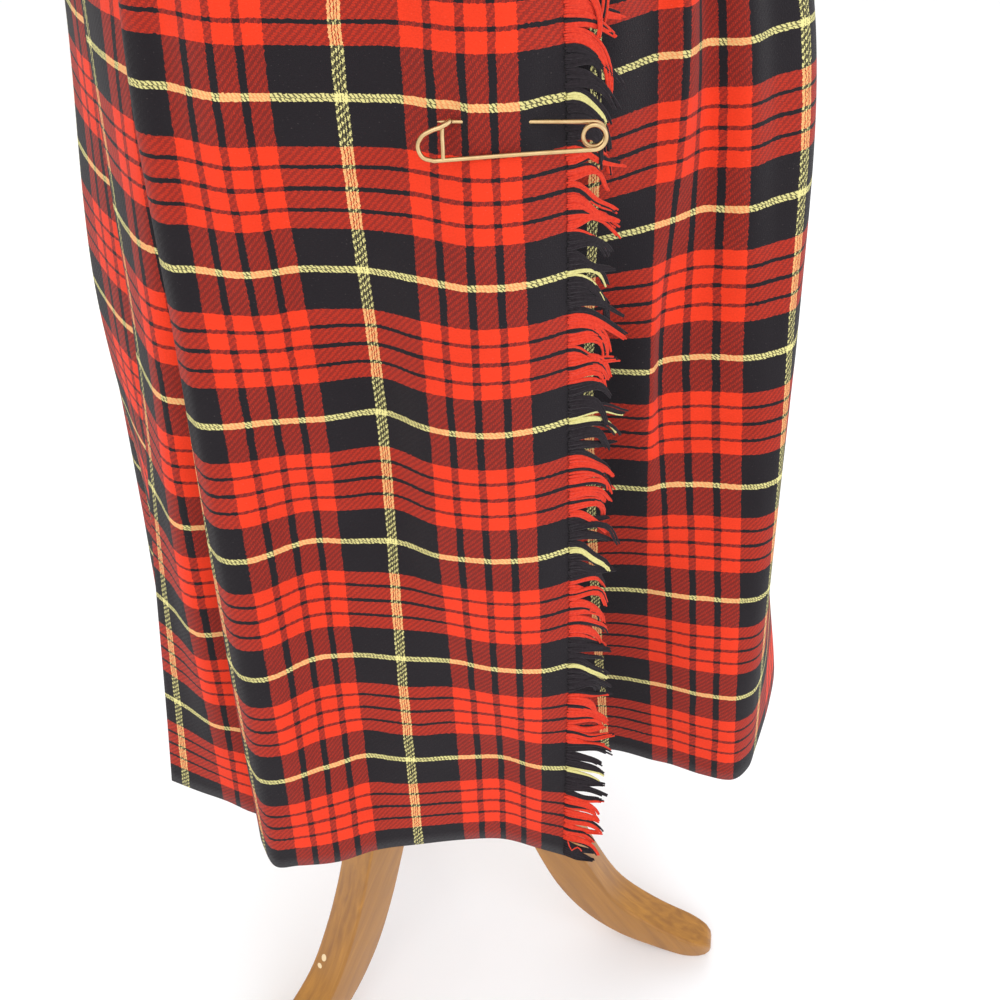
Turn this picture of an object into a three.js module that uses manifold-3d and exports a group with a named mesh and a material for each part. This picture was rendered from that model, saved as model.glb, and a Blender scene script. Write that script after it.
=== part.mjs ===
import * as THREE from 'three';
import Module from 'manifold-3d';

// A wrap kilt skirt of pleated tartan cloth, hung on a limbless dress form
// that stands on a wooden tripod. Millimetres, +Z up, front towards -Y.
// Plan positions are measured from the axis of the stand's pole. The whole
// group is moved at the end, so that its box is centred on the origin.

const wasm = await Module();
wasm.setup();

// ---- Driving dimensions ----

const cloth = {
  wall: 1.2,          // thickness of the kilting
  foldRadius: 1.2,    // radius of a pressed fold, to the middle of the wall
  settAcross: 98,     // one repeat of the check, which each pleat takes up
  hemHeight: 294,     // hem above the floor
  drop: 557,          // hem to the lower edge of the waistband
  hip: 407,           // hem to the fullest part of the hip
  sideLift: 12,       // how far the hip draws the cloth up at the sides
  sideReach: 190,     // distance out at which that lift is full
  seamGap: 0.3,       // space left between two sewn pieces
};
const band = { height: 40, wall: 3, points: 96 };
const button = { radius: 9, thick: 3, fromEnd: 16, clear: 0.4 };
const fringe = { strip: 3.4, pitch: 5.9, wide: 3.3, thick: 1.5, longAtHem: 23, longAtTop: 17 };
const pin = {
  wire: 1.0,          // radius of the arm, coil and clasp
  needle: 0.8,        // radius of the needle
  armY: -110.7,       // the arm lies in front of the cloth
  needleY: -105.4,    // the needle passes behind a ridge of the cloth
  needleZ: 696,
  pointX: 19.5,       // where the needle's point lies in the clasp
  coilX: 76,
  coilRadius: 4.1,
  armDrop: 4.2,       // how far the arm falls from the coil to the clasp
  holeClear: 0.75,    // space round the needle where it goes through
};
const stand = {
  legReach: 226,
  legWide: 28,
  legEdge: 3,
  hubRadius: 22,
  hubTop: 352,
  poleRadius: 12.5,
  legAngles: [-12.9, -131, 108],
};
const form = { bottom: 600, neckTop: 1380, sides: 32 };

// Heights above the hem that the columns of the tables below stand for.
const levels = { hem: 0, low: 133, mid: 270, hip: 407, top: 557 };
const rowHeights = [0, 66, 133, 200, 270, 338, 407, 446, 496, cloth.drop - cloth.seamGap];

// Outer edge of the skirt, from under the over-apron, by its folded edge and
// the left side, round the back to the right side. A row is a place on it.
const ring = [
  { at: 'under', hem: [-45, -151], low: [-51, -120], mid: [-52, -103], hip: [-62, -95], top: [-45, -90] },
  { at: 'apron', hem: [-83, -158], low: [-88, -134], mid: [-91, -109], hip: [-92, -84], top: [-80, -72] },
  { at: 'panel1', hem: [-124, -134], low: [-122, -108], mid: [-117, -86], hip: [-115, -60], top: [-95, -61] },
  { at: 'fold1', hem: [-159, -102], low: [-147, -75], mid: [-134, -50], hip: [-130, -27], top: [-108, -47] },
  { at: 'panel2', hem: [-173, -68], low: [-163, -37], mid: [-160, -14], hip: [-150, 10], top: [-119, -32] },
  { at: 'fold2', hem: [-181, -28], low: [-173, 2], mid: [-179, 26], hip: [-165, 48], top: [-127, -14] },
  { at: 'leftSide', hem: [-203, 45], low: [-198, 55], mid: [-194, 72], hip: [-177, 84], top: [-131, 14] },
  { at: 'leftBack', hem: [-172, 130], low: [-165, 126], mid: [-157, 124], hip: [-146, 121], top: [-95, 84] },
  { at: 'back', hem: [0, 196], low: [0, 184], mid: [0, 172], hip: [0, 161], top: [0, 114] },
  { at: 'rightBack', hem: [184, 132], low: [172, 127], mid: [166, 120], hip: [154, 114], top: [95, 84] },
  { at: 'rightSide', hem: [238, 60], low: [217, 54], mid: [207, 50], hip: [189, 44], top: [130, 4] },
  { at: 'beyond', hem: [238, 0], low: [210, -8], mid: [204, 0], hip: [188, 8], top: [128, -18] },
];
const knot = Object.fromEntries(ring.map((row, k) => [row.at, k]));
const backPleats = 10;     // fold edges after the second one, evenly spaced

// How deep the hollow behind each fold edge lies.
const foldDepth = { hem: 16, low: 13, mid: 9.5, hip: 7, top: 6.8 };

// The hollow behind the over-apron's folded edge, and the first pleated panel
// that comes out of it, up to the first fold edge.
const hollow1 = { hem: [-78, -130], low: [-80, -109], mid: [-81, -90], hip: [-82, -71.4], top: [-45, -80.6] };
const firstPanel = [
  { at: 'near', hem: [-107, -121], low: [-104, -102], mid: [-101, -89], hip: [-97, -73], top: [-68, -68] },
  { at: 'mid', hem: [-123, -114], low: [-118, -102], mid: [-111, -87], hip: [-105, -65], top: [-83, -61] },
  { at: 'out', hem: [-142, -108], low: [-134, -86.5], mid: [-123, -70.5], hip: [-117, -49], top: [-97, -54] },
];

// Over-apron, from the fringe across its ridges and hollows to the folded
// edge, which is a soft roll of cloth, and a little way in behind it.
const apronStations = [
  { at: 'root', hem: [81, -149], low: [79, -122], mid: [74, -101], hip: [67, -96], top: [58, -93.5] },
  { at: 'side', hem: [66, -144], low: [63, -126], mid: [56, -109], hip: [48.5, -107], top: [44, -97] },
  { at: 'pin', hem: [44, -137], low: [39, -124], mid: [33, -112], hip: [29, -107.5], top: [26, -99] },
  { at: 'slopeR', hem: [21, -137], low: [16, -118], mid: [11, -106], hip: [7, -95.5], top: [8, -99.5] },
  { at: 'mid', hem: [-6, -140], low: [-10, -116], mid: [-12, -92], hip: [-16, -94], top: [-12, -98] },
  { at: 'hollow', hem: [-30, -144], low: [-35, -114], mid: [-37, -98], hip: [-42, -95], top: [-32, -94.5] },
  { at: 'slopeL', hem: [-52, -152], low: [-56, -118], mid: [-58, -102], hip: [-61, -97], top: [-50, -88.5] },
  { at: 'ridge', hem: [-74, -155], low: [-76, -132], mid: [-80, -108], hip: [-81, -86.5], top: [-64, -82] },
  { at: 'roll', hem: [-86, -156], low: [-88, -132], mid: [-90, -108], hip: [-90, -85.5], top: [-75, -77] },
  { at: 'turn', hem: [-94, -146], low: [-96, -123], mid: [-95, -103], hip: [-94.5, -82], top: [-79.5, -74] },
  { at: 'edge', hem: [-99, -133], low: [-100, -114], mid: [-98, -97], hip: [-96, -77.5], top: [-80, -71] },
  { at: 'inner', hem: [-94, -129], low: [-95, -111], mid: [-93, -93.5], hip: [-91, -75.5], top: [-75, -72] },
];

// Under-apron, from beneath the last pleat at the right side, round the front
// and on under the over-apron.
const underStations = [
  { at: 'sideBack', hem: [230, 46], low: [210, 44], mid: [199, 42], hip: [181, 36], top: [122, -4] },
  { at: 'side', hem: [229, -8], low: [203, -10], mid: [197, 2], hip: [180, 9], top: [120, -20] },
  { at: 'sideFront', hem: [217, -48], low: [194, -56], mid: [188, -38], hip: [176.5, -8], top: [117, -29] },
  { at: 'corner', hem: [201, -83], low: [189, -75.5], mid: [181, -52.5], hip: [171, -17], top: [113, -37.5] },
  { at: 'byCorner', hem: [194, -96], low: [182, -82.5], mid: [171, -56], hip: [156, -25], top: [109, -45] },
  { at: 'ridge', hem: [184, -103], low: [172, -83], mid: [158, -57], hip: [144, -37], top: [103, -53] },
  { at: 'stepOut', hem: [167, -98], low: [154, -78.5], mid: [138, -53], hip: [127, -33.5], top: [96.5, -60] },
  { at: 'stepIn', hem: [149, -89], low: [136, -74], mid: [119, -55], hip: [117.5, -48], top: [89.5, -66] },
  { at: 'hollow', hem: [138, -85], low: [124, -71], mid: [113, -63.5], hip: [105, -50], top: [84, -69.5] },
  { at: 'atFringe', hem: [112, -75], low: [99, -67], mid: [89, -61], hip: [84, -70], top: [74, -76] },
  { at: 'hiddenA', hem: [60, -75], low: [60, -71], mid: [60, -73], hip: [57, -80], top: [40, -86] },
  { at: 'hiddenB', hem: [5, -79], low: [5, -75], mid: [5, -81], hip: [5, -86], top: [0, -90] },
  { at: 'end', hem: [-54, -84], low: [-54, -79], mid: [-52, -80], hip: [-46, -82], top: [-30, -86] },
];

// Clasp of the kilt pin, from its end by the arm up, over the needle's point
// and down to the arm: across, distance in front of the pole, height.
const claspBends = [
  { x: 21.4, front: 110.7, z: 685.5 },
  { x: 21.3, front: 110.7, z: 690 },
  { x: 22.5, front: 110.2, z: 694.6 },
  { x: 24, front: 109, z: 697.4 },
  { x: 22.4, front: 108.6, z: 699.3 },
  { x: 18.8, front: 109.8, z: 697.9 },
  { x: 14.6, front: 110.7, z: 694 },
  { x: 12.4, front: 110.7, z: 689 },
  { x: 14, front: 110.7, z: 685 },
  { x: 18, front: 110.7, z: 683.7 },
];

// Shapes that the fringe's locks take in turn.
const lockForms = [
  { long: 1.0,  droop: 2.5, bend: 1.3,  lean: 0.4 },
  { long: 0.86, droop: 4.0, bend: -1.8, lean: -0.3 },
  { long: 1.08, droop: 5.5, bend: 2.0,  lean: 0.5 },
  { long: 0.94, droop: 3.0, bend: 0.4,  lean: -0.5 },
  { long: 1.02, droop: 6.5, bend: -1.1, lean: 0.2 },
  { long: 0.8,  droop: 4.8, bend: 1.5,  lean: 0 },
  { long: 1.1,  droop: 3.6, bend: -2.0, lean: -0.4 },
];

// Dress form: level, half width, half depth, centre across and back.
const formRings = [
  { z: form.bottom, wide: 139, deep: 94, x: 11, y: 33 },
  { z: 640, wide: 143, deep: 98, x: 12, y: 34 },
  { z: 690, wide: 145, deep: 100, x: 12, y: 34 },
  { z: 740, wide: 139, deep: 97, x: 9, y: 30 },
  { z: 790, wide: 127, deep: 91, x: 4, y: 22 },
  { z: 835, wide: 117, deep: 86, x: 1, y: 15 },
  { z: 848, wide: 115, deep: 90, x: -1, y: 13 },
  { z: 858, wide: 121, deep: 98.6, x: -2, y: 12 },
  { z: 884, wide: 121, deep: 98.6, x: -2, y: 12 },
  { z: 925, wide: 121, deep: 95, x: 0, y: 8 },
  { z: 990, wide: 130, deep: 100, x: 0, y: 3 },
  { z: 1060, wide: 139, deep: 106, x: 0, y: -3 },
  { z: 1130, wide: 143, deep: 101, x: 0, y: 0 },
  { z: 1190, wide: 149, deep: 88, x: 0, y: 7 },
  { z: 1235, wide: 159, deep: 75, x: 0, y: 12 },
  { z: 1268, wide: 160, deep: 62, x: 0, y: 15 },
  { z: 1292, wide: 138, deep: 54, x: 0, y: 17 },
  { z: 1310, wide: 100, deep: 51, x: 0, y: 17 },
  { z: 1324, wide: 70, deep: 51, x: 0, y: 15 },
  { z: 1342, wide: 57, deep: 51, x: 0, y: 12 },
  { z: form.neckTop, wide: 52, deep: 48, x: 0, y: 6 },
];

// Leg outline in the upright plane through the pole: distance out, height.
const legTop = [
  [22.4, 336], [40, 318], [58, 282], [76, 232], [92, 178], [106, 134],
  [123, 94], [145, 58], [176, 35], [205, 22], [221, 16],
];
const legUnder = [
  [200, 0], [176, 5], [150, 13], [122, 32], [98, 62], [78, 104],
  [60, 156], [44, 205], [32, 240], [22.4, 258],
];

// ---- Curves ----

const lerp = (a, b, t) => a + (b - a) * t;

// Unit direction from one plan point to another.
function heading(from, to) {
  const length = Math.hypot(to[0] - from[0], to[1] - from[1]) || 1;
  return [(to[0] - from[0]) / length, (to[1] - from[1]) / length];
}

// Smooth value between the five levels of a table's row.
function between(values, h) {
  const knots = Object.values(levels);
  const last = knots.length - 1;
  let i = 0;
  while (i < last - 1 && h > knots[i + 1]) i += 1;
  const span = knots[i + 1] - knots[i];
  const t = THREE.MathUtils.clamp((h - knots[i]) / span, 0, 1);
  const chord = (j) => (values[j + 1] - values[j]) / (knots[j + 1] - knots[j]);
  const slope = (j) => {
    if (j === 0) return chord(0);
    if (j === last) return 1.4 * chord(last - 1) - 0.4 * slope(last - 1);
    return (chord(j - 1) + chord(j)) / 2;
  };
  const ends = values[i] * (2 * t ** 3 - 3 * t ** 2 + 1) + values[i + 1] * (3 * t ** 2 - 2 * t ** 3);
  return ends + span * (slope(i) * (t ** 3 - 2 * t ** 2 + t) + slope(i + 1) * (t ** 3 - t ** 2));
}

const numberAt = (row, h) => between(Object.keys(levels).map((name) => row[name]), h);

function placeAt(row, h) {
  return [0, 1].map((axis) => between(Object.keys(levels).map((name) => row[name][axis]), h));
}

// Smooth curve through plan points, with places on it given by distance.
function planCurve(points, stepsEach = 10) {
  const knots = points.map((p) => new THREE.Vector3(p[0], p[1], 0));
  const spline = new THREE.CatmullRomCurve3(knots, false, 'centripetal');
  const line = spline.getPoints((points.length - 1) * stepsEach);
  const reach = [0];
  line.slice(1).forEach((p, i) => reach.push(reach[i] + p.distanceTo(line[i])));
  const total = reach[reach.length - 1];
  const at = (s) => {
    let i = 1;
    while (i < reach.length - 1 && reach[i] < s) i += 1;
    const t = (s - reach[i - 1]) / (reach[i] - reach[i - 1]);
    return [lerp(line[i - 1].x, line[i].x, t), lerp(line[i - 1].y, line[i].y, t)];
  };
  const tangent = (s) => heading(at(Math.max(0, s - 3)), at(Math.min(total, s + 3)));
  return { line: line.map((p) => [p.x, p.y]), at, tangent, total, knotAt: (k) => reach[k * stepsEach] };
}

// Height of a point of the cloth, with the lift that the hip gives the sides.
function clothHeight(h, x) {
  const fade = THREE.MathUtils.clamp((cloth.drop - h) / (cloth.drop - cloth.hip), 0, 1);
  return cloth.hemHeight + h + cloth.sideLift * fade * Math.min(1.4, (x / cloth.sideReach) ** 2);
}

// ---- Plan of the skirt at one height ----

// Frame of the ring: a point s along it and d outwards. The ring runs
// clockwise, seen from above.
function ringAt(h) {
  const curve = planCurve(ring.map((row) => placeAt(row, h)));
  const off = (s, d) => {
    const p = curve.at(s);
    const t = curve.tangent(s);
    return [p[0] - t[1] * d, p[1] + t[0] * d];
  };
  return { off, edge: (name) => curve.knotAt(knot[name]) };
}

// Each fold's edge, the way back to its hollow, and the hollow's depth. The
// way back is as long as the cloth of one pleat allows.
function foldsAt(h) {
  const frame = ringAt(h);
  const second = frame.edge('fold2');
  const last = frame.edge('rightSide');
  const edges = [frame.edge('fold1'), second];
  for (let k = 1; k <= backPleats; k += 1) edges.push(lerp(second, last, k / backPleats));
  const deep = numberAt(foldDepth, h);
  const folds = edges.map((edge, k) => {
    const wide = k < edges.length - 1 ? edges[k + 1] - edge : edge - edges[k - 1];
    let back = 1.5;
    while (Math.hypot(back, deep) + Math.hypot(back + wide, deep) < cloth.settAcross) back += 0.25;
    return { edge, back, deep };
  });
  return { frame, folds };
}

const turnSteps = [0, 1, 2, 3].map((i) => Math.PI * i / 3);

function roundEdge(frame, fold) {
  const r = cloth.foldRadius;
  return turnSteps.map((a) => frame.off(fold.edge + r * Math.sin(a), r * Math.cos(a) - r));
}

function roundHollow(frame, fold) {
  const r = cloth.foldRadius;
  const inner = fold.edge - fold.back;
  return turnSteps.map((a) => frame.off(inner - r * Math.sin(a), r * Math.cos(a) - fold.deep));
}

// Points on a straight lay of cloth between two places in the ring's frame.
function lay(frame, from, to, parts) {
  return parts.map((t) => frame.off(lerp(from[0], to[0], t), lerp(from[1], to[1], t)));
}

// The layer that goes back in from a fold edge to the hollow behind it.
function wayBack(frame, fold, parts) {
  const r = cloth.foldRadius;
  return lay(frame, [fold.edge, -2 * r], [fold.edge - fold.back, r - fold.deep], parts);
}

// Share of the last way back at which the pleats are sewn to the under-apron.
function seamShare(fold, gap) {
  return 0.8 + gap / Math.hypot(fold.back, fold.deep - 3 * cloth.foldRadius);
}

// The hollow behind the over-apron turns in a direction of its own.
function firstTurn(h) {
  const centre = placeAt(hollow1, h);
  const t = heading(centre, placeAt(firstPanel[0], h));
  return (s, d) => [centre[0] + t[0] * s - t[1] * d, centre[1] + t[1] * s + t[0] * d];
}

// From the fringe to the folded edge, round it and in to the first hollow.
function overApronPath(h) {
  const turn = firstTurn(h);
  const r = cloth.foldRadius;
  const hollow = turnSteps.map((a) => turn(-r * Math.sin(a), r * Math.cos(a)));
  const face = planCurve([...apronStations.map((row) => placeAt(row, h)), hollow[0]], 2);
  return [...face.line, ...hollow.slice(1), turn(1.4, -r)];
}

// From the first hollow through every pleat to the seam behind the last edge.
function pleatPath(h) {
  const { frame, folds } = foldsAt(h);
  const r = cloth.foldRadius;
  const turn = firstTurn(h);
  const through = firstPanel.map((row) => placeAt(row, h));
  const panel = planCurve([turn(3.6, -r), ...through, frame.off(folds[0].edge, 0)], 2);
  const path = [turn(1.4 + cloth.seamGap, -r), ...panel.line.slice(0, -1)];
  folds.forEach((fold, k) => {
    const next = folds[k + 1];
    path.push(...roundEdge(frame, fold));
    if (!next) {
      path.push(...wayBack(frame, fold, [0.4, seamShare(fold, -cloth.seamGap)]));
      return;
    }
    path.push(...wayBack(frame, fold, [0.5]), ...roundHollow(frame, fold));
    path.push(...lay(frame, [fold.edge - fold.back, -fold.deep - r], [next.edge, 0], [0.25, 0.5, 0.75]));
  });
  return path;
}

// From that seam round the last hollow and across the front to its end.
function underApronPath(h) {
  const { frame, folds } = foldsAt(h);
  const fold = folds[folds.length - 1];
  const hollow = roundHollow(frame, fold);
  const face = planCurve([hollow[3], ...underStations.map((row) => placeAt(row, h))], 2);
  return [...wayBack(frame, fold, [seamShare(fold, cloth.seamGap)]), ...hollow, ...face.line.slice(1)];
}

// ---- Closed bodies ----

// Turns the faces of a closed body so that they look outwards.
function closed(vertices, faces) {
  const v = (i) => new THREE.Vector3(...vertices[i]);
  const volume = faces.reduce((sum, [a, b, c]) => sum + v(a).dot(v(b).cross(v(c))), 0);
  return { vertices, faces: volume < 0 ? faces.map(([a, b, c]) => [a, c, b]) : faces };
}

// Sideways directions of a plan path, one for each of its points.
function sideways(path) {
  const last = path.length - 1;
  return path.map((p, i) => {
    const before = i > 0 ? heading(path[i - 1], p) : [0, 0];
    const after = i < last ? heading(p, path[i + 1]) : [0, 0];
    const [x, y] = heading([0, 0], [before[0] + after[0], before[1] + after[1]]);
    return [-y, x];
  });
}

// Wall of even thickness standing on plan paths of equal count, one for each
// row, from the lowest row to the highest.
function wall(rows, thick, heightOf) {
  const count = rows[0].path.length;
  const sheet = rows.length * count;
  const vertices = [];
  [thick / 2, -thick / 2].forEach((d) => rows.forEach(({ h, path }) => {
    const side = sideways(path);
    path.forEach((p, i) => {
      vertices.push([p[0] + side[i][0] * d, p[1] + side[i][1] * d, heightOf(h, p[0])]);
    });
  }));
  const faces = [];
  const quad = (a, b, c, d) => faces.push([a, b, c], [a, c, d]);
  for (let j = 0; j < rows.length - 1; j += 1) {
    for (let i = 0; i < count - 1; i += 1) {
      const a = j * count + i;
      quad(a, a + count, a + count + 1, a + 1);
      quad(sheet + a, sheet + a + 1, sheet + a + count + 1, sheet + a + count);
    }
    const first = j * count;
    const last = first + count - 1;
    quad(first, sheet + first, sheet + first + count, first + count);
    quad(last, last + count, sheet + last + count, sheet + last);
  }
  for (let i = 0; i < count - 1; i += 1) {
    const top = (rows.length - 1) * count + i;
    quad(i, i + 1, sheet + i + 1, sheet + i);
    quad(top, sheet + top, sheet + top + 1, top + 1);
  }
  return closed(vertices, faces);
}

// Body skinned over rings of equal count, with flat ends.
function skin(rings) {
  const n = rings[0].length;
  const top = (rings.length - 1) * n;
  const faces = [];
  for (let a = 0; a < top; a += 1) {
    const b = a % n === n - 1 ? a - n + 1 : a + 1;
    faces.push([a, b, b + n], [a, b + n, a + n]);
  }
  for (let i = 1; i < n - 1; i += 1) faces.push([0, i + 1, i], [top, top + i, top + i + 1]);
  return closed(rings.flat(), faces);
}

// Round bar along points in space, with a radius for each point.
function bar(points, radii, sides = 8) {
  const line = points.map((p) => new THREE.Vector3(...p));
  let side = new THREE.Vector3(0.1, 0, 1);
  return skin(line.map((centre, i) => {
    const next = line[Math.min(i + 1, line.length - 1)];
    const t = new THREE.Vector3().subVectors(next, line[Math.max(i - 1, 0)]).normalize();
    side = side.clone().addScaledVector(t, -side.dot(t)).normalize();
    const other = t.clone().cross(side);
    return Array.from({ length: sides }, (_, k) => {
      const a = 2 * Math.PI * k / sides;
      const out = side.clone().multiplyScalar(Math.cos(a)).addScaledVector(other, Math.sin(a));
      return centre.clone().addScaledVector(out, radii[i]).toArray();
    });
  }));
}

function toSolid({ vertices, faces }) {
  return new wasm.Manifold(new wasm.Mesh({
    numProp: 3,
    vertProperties: new Float32Array(vertices.flat()),
    triVerts: new Uint32Array(faces.flat()),
  }));
}

function toGeometry(body) {
  const geometry = new THREE.BufferGeometry();
  const mesh = body.getMesh ? body.getMesh() : null;
  const position = mesh ? mesh.vertProperties : new Float32Array(body.vertices.flat());
  const index = mesh ? mesh.triVerts : new Uint32Array(body.faces.flat());
  geometry.setAttribute('position', new THREE.BufferAttribute(position, 3));
  geometry.setIndex(new THREE.BufferAttribute(index, 1));
  geometry.computeVertexNormals();
  return geometry;
}

// ---- The pieces ----

const whole = new THREE.Group();

function add(name, shape, look) {
  const geometry = shape.isBufferGeometry ? shape : toGeometry(shape);
  const mesh = new THREE.Mesh(geometry, new THREE.MeshStandardMaterial(look));
  mesh.name = name;
  whole.add(mesh);
  return mesh;
}

const looks = {
  tartan: { color: 0xb03c34, roughness: 0.9 },
  redWool: { color: 0xd8503c, roughness: 0.9 },
  horn: { color: 0x2a2428, roughness: 0.5 },
  brass: { color: 0xc9b46a, roughness: 0.35, metalness: 1 },
  linen: { color: 0xd9cfc0, roughness: 0.9 },
  wood: { color: 0xb06a2c, roughness: 0.35 },
  steel: { color: 0x8f8f92, roughness: 0.4, metalness: 1 },
};

const standing = (pathOf) => wall(rowHeights.map((h) => ({ h, path: pathOf(h) })), cloth.wall, clothHeight);

// The over-apron, with the two holes that the needle makes in its ridge.
function overApron() {
  const from = [pin.pointX, pin.needleY, pin.needleZ];
  const to = [66, pin.needleY, pin.needleZ];
  const radius = pin.needle + pin.holeClear;
  return toSolid(standing(overApronPath)).subtract(toSolid(bar([from, to], [radius, radius])));
}

// The waistband's run: the over-apron's top edge, the outer fold edges, then
// the under-apron's top edge, which it covers twice over at the front.
function bandCurve() {
  const { frame } = foldsAt(cloth.drop);
  const apron = apronStations.slice(0, 9).map((row) => placeAt(row, cloth.drop));
  const start = frame.edge('apron') + 10;
  const last = frame.edge('rightSide') - 10;
  const parts = Array.from({ length: 34 }, (_, i) => (i + 1) / 34);
  const round = lay(frame, [start, -1.2], [last, -1.2], parts);
  const under = underApronPath(cloth.drop).slice(7).filter((_, i) => i % 2 === 0);
  return planCurve([...apron, ...round, ...under], 3);
}

function waistband(curve) {
  const steps = band.points;
  const path = Array.from({ length: steps + 1 }, (_, i) => curve.at(curve.total * i / steps));
  return wall([{ h: 0, path }, { h: band.height, path }], band.wall, (h) => cloth.hemHeight + cloth.drop + h);
}

// Button that closes the band, near the end of the over-apron.
function waistButton(curve) {
  const p = curve.at(button.fromEnd);
  const t = curve.tangent(button.fromEnd);
  const z = cloth.hemHeight + cloth.drop + band.height / 2;
  const face = band.wall / 2 + button.clear;
  const steps = [0, 0.8, button.thick - 0.8, button.thick];
  const points = steps.map((d) => [p[0] - t[1] * (face + d), p[1] + t[0] * (face + d), z]);
  const r = button.radius;
  return bar(points, [r - 1, r, r, r - 1.4], 20);
}

// Ends of the over-apron at its rows, and the straight run between two rows.
const apronEnds = rowHeights.map((h) => overApronPath(h).slice(0, 2));

function apronEnd(h) {
  let i = 0;
  while (i < rowHeights.length - 2 && h > rowHeights[i + 1]) i += 1;
  const t = (h - rowHeights[i]) / (rowHeights[i + 1] - rowHeights[i]);
  return [0, 1].map((k) => [0, 1].map((axis) => lerp(apronEnds[i][k][axis], apronEnds[i + 1][k][axis], t)));
}

// One lock of the fringe: a three-sided strand that narrows and droops.
function lock(h, shape) {
  const [end, before] = apronEnd(h);
  const t = heading(before, end);
  const long = lerp(fringe.longAtHem, fringe.longAtTop, h / cloth.drop) * shape.long;
  const droop = Math.min(shape.droop, 2 + h);
  return skin([0, 1].map((u) => {
    const out = cloth.seamGap + fringe.strip - 0.9 + long * u;
    const x = end[0] + t[0] * out + t[1] * shape.bend * u;
    const y = end[1] + t[1] * out - t[0] * shape.bend * u + 2 * u;
    const z = clothHeight(h, end[0]) + (shape.lean - droop) * u;
    const w = fringe.wide / 2 * (1 - 0.4 * u);
    const q = fringe.thick / 2 * (1 - 0.4 * u);
    const front = [x + t[1] * q, y - t[0] * q];
    return [[...front, z - w], [...front, z + w], [x - t[1] * q, y + t[0] * q, z]];
  }));
}

// The fringe: a narrow strip along the over-apron's end, carrying its locks.
function fringeBody() {
  const strip = wall(rowHeights.map((h, k) => {
    const [end, before] = apronEnds[k];
    const t = heading(before, end);
    const out = [cloth.seamGap + 0.1, cloth.seamGap + fringe.strip];
    return { h, path: out.map((d) => [end[0] + t[0] * d, end[1] + t[1] * d]) };
  }), cloth.wall, clothHeight);
  const count = Math.floor((cloth.drop - 6) / fringe.pitch);
  const locks = Array.from({ length: count + 1 }, (_, k) => {
    return toSolid(lock(2.4 + k * fringe.pitch, lockForms[(k * 3) % lockForms.length]));
  });
  return wasm.Manifold.union([toSolid(strip), ...locks]);
}

// Kilt pin: one wire, bent into a clasp, an arm, a coil of one turn and a
// half, and a needle whose point lies behind the clasp.
function kiltPin() {
  const r = pin.coilRadius;
  const bends = claspBends.map((p) => new THREE.Vector3(p.x, -p.front, p.z));
  const clasp = new THREE.CatmullRomCurve3(bends).getPoints(26).map((p) => p.toArray());
  const armZ = pin.needleZ - 2 * r;
  const middle = [lerp(18, pin.coilX, 0.5), pin.armY, armZ - pin.armDrop * 0.44];
  const coil = Array.from({ length: 19 }, (_, i) => {
    const a = -Math.PI / 2 + 3 * Math.PI * i / 18;
    const y = lerp(pin.armY, pin.needleY, i / 18);
    return [pin.coilX + r * Math.cos(a), y, pin.needleZ - r + r * Math.sin(a)];
  });
  const needle = [62, pin.pointX + 9, pin.pointX].map((x) => [x, pin.needleY, pin.needleZ]);
  const wire = [...clasp, middle, ...coil];
  const radii = wire.map(() => pin.wire);
  return bar([...wire, ...needle], [...radii, pin.needle, pin.needle, 0.35]);
}

function formBody() {
  return skin(formRings.map((row) => Array.from({ length: form.sides }, (_, i) => {
    const a = 2 * Math.PI * i / form.sides;
    return [row.x + row.wide * Math.cos(a), row.y + row.deep * Math.sin(a), row.z];
  })));
}

// Turned piece from its profile: radius and height, starting on the axis.
function turned(profile, sides) {
  const points = profile.map(([r, z]) => new THREE.Vector2(r, z));
  return new THREE.LatheGeometry(points, sides).rotateX(Math.PI / 2);
}

const neckProfile = [
  [0, 0.3], [46, 0.3], [48, 3], [48, 10], [44, 13], [14, 15], [9, 19],
  [10, 26], [16, 33], [17, 41], [12, 50], [0, 54],
];
const hubProfile = [
  [0, 214], [8, 214], [14, 218], [17, 226], [14, 234], [stand.hubRadius, 236],
  [stand.hubRadius, stand.hubTop - 14], [19, stand.hubTop - 8], [15, stand.hubTop], [0, stand.hubTop],
];
const poleProfile = [
  [0, stand.hubTop + 0.3], [stand.poleRadius, stand.hubTop + 0.3],
  [stand.poleRadius, form.bottom - 0.3], [0, form.bottom - 0.3],
];

// Leg cut from a board, its edges softened, standing on a flat underside.
function leg() {
  const plane = (points) => points.map((p) => new THREE.Vector2(...p));
  const flow = (points, count) => new THREE.SplineCurve(plane(points)).getPoints(count);
  const toe = plane([[225.2, 11], [stand.legReach, 5], [225, 0]]);
  const shape = new THREE.Shape([...flow(legTop, 20), ...toe, ...flow(legUnder, 18)]);
  const geometry = new THREE.ExtrudeGeometry(shape, {
    depth: stand.legWide - 2 * stand.legEdge,
    steps: 1,
    bevelThickness: stand.legEdge,
    bevelSize: stand.legEdge,
    bevelOffset: -stand.legEdge,
    bevelSegments: 1,
  });
  return geometry.translate(0, 0, stand.legEdge - stand.legWide / 2).rotateX(Math.PI / 2);
}

const bandRun = bandCurve();
add('over_apron', overApron(), looks.tartan);
add('pleated_back', standing(pleatPath), looks.tartan);
add('under_apron', standing(underApronPath), looks.tartan);
add('waistband', waistband(bandRun), looks.tartan);
add('waist_button', waistButton(bandRun), looks.horn);
add('fringe', fringeBody(), looks.redWool);
add('kilt_pin', kiltPin(), looks.brass);
add('form_body', formBody(), looks.linen);
add('neck_cap', turned(neckProfile, 24), looks.wood).position.set(0, 6, form.neckTop);
add('pole', turned(poleProfile, 24), looks.steel);
add('hub', turned(hubProfile, 24), looks.wood);
stand.legAngles.forEach((angle, k) => {
  add(`leg_${k + 1}`, leg(), looks.wood).rotation.z = THREE.MathUtils.degToRad(angle);
});

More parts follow.
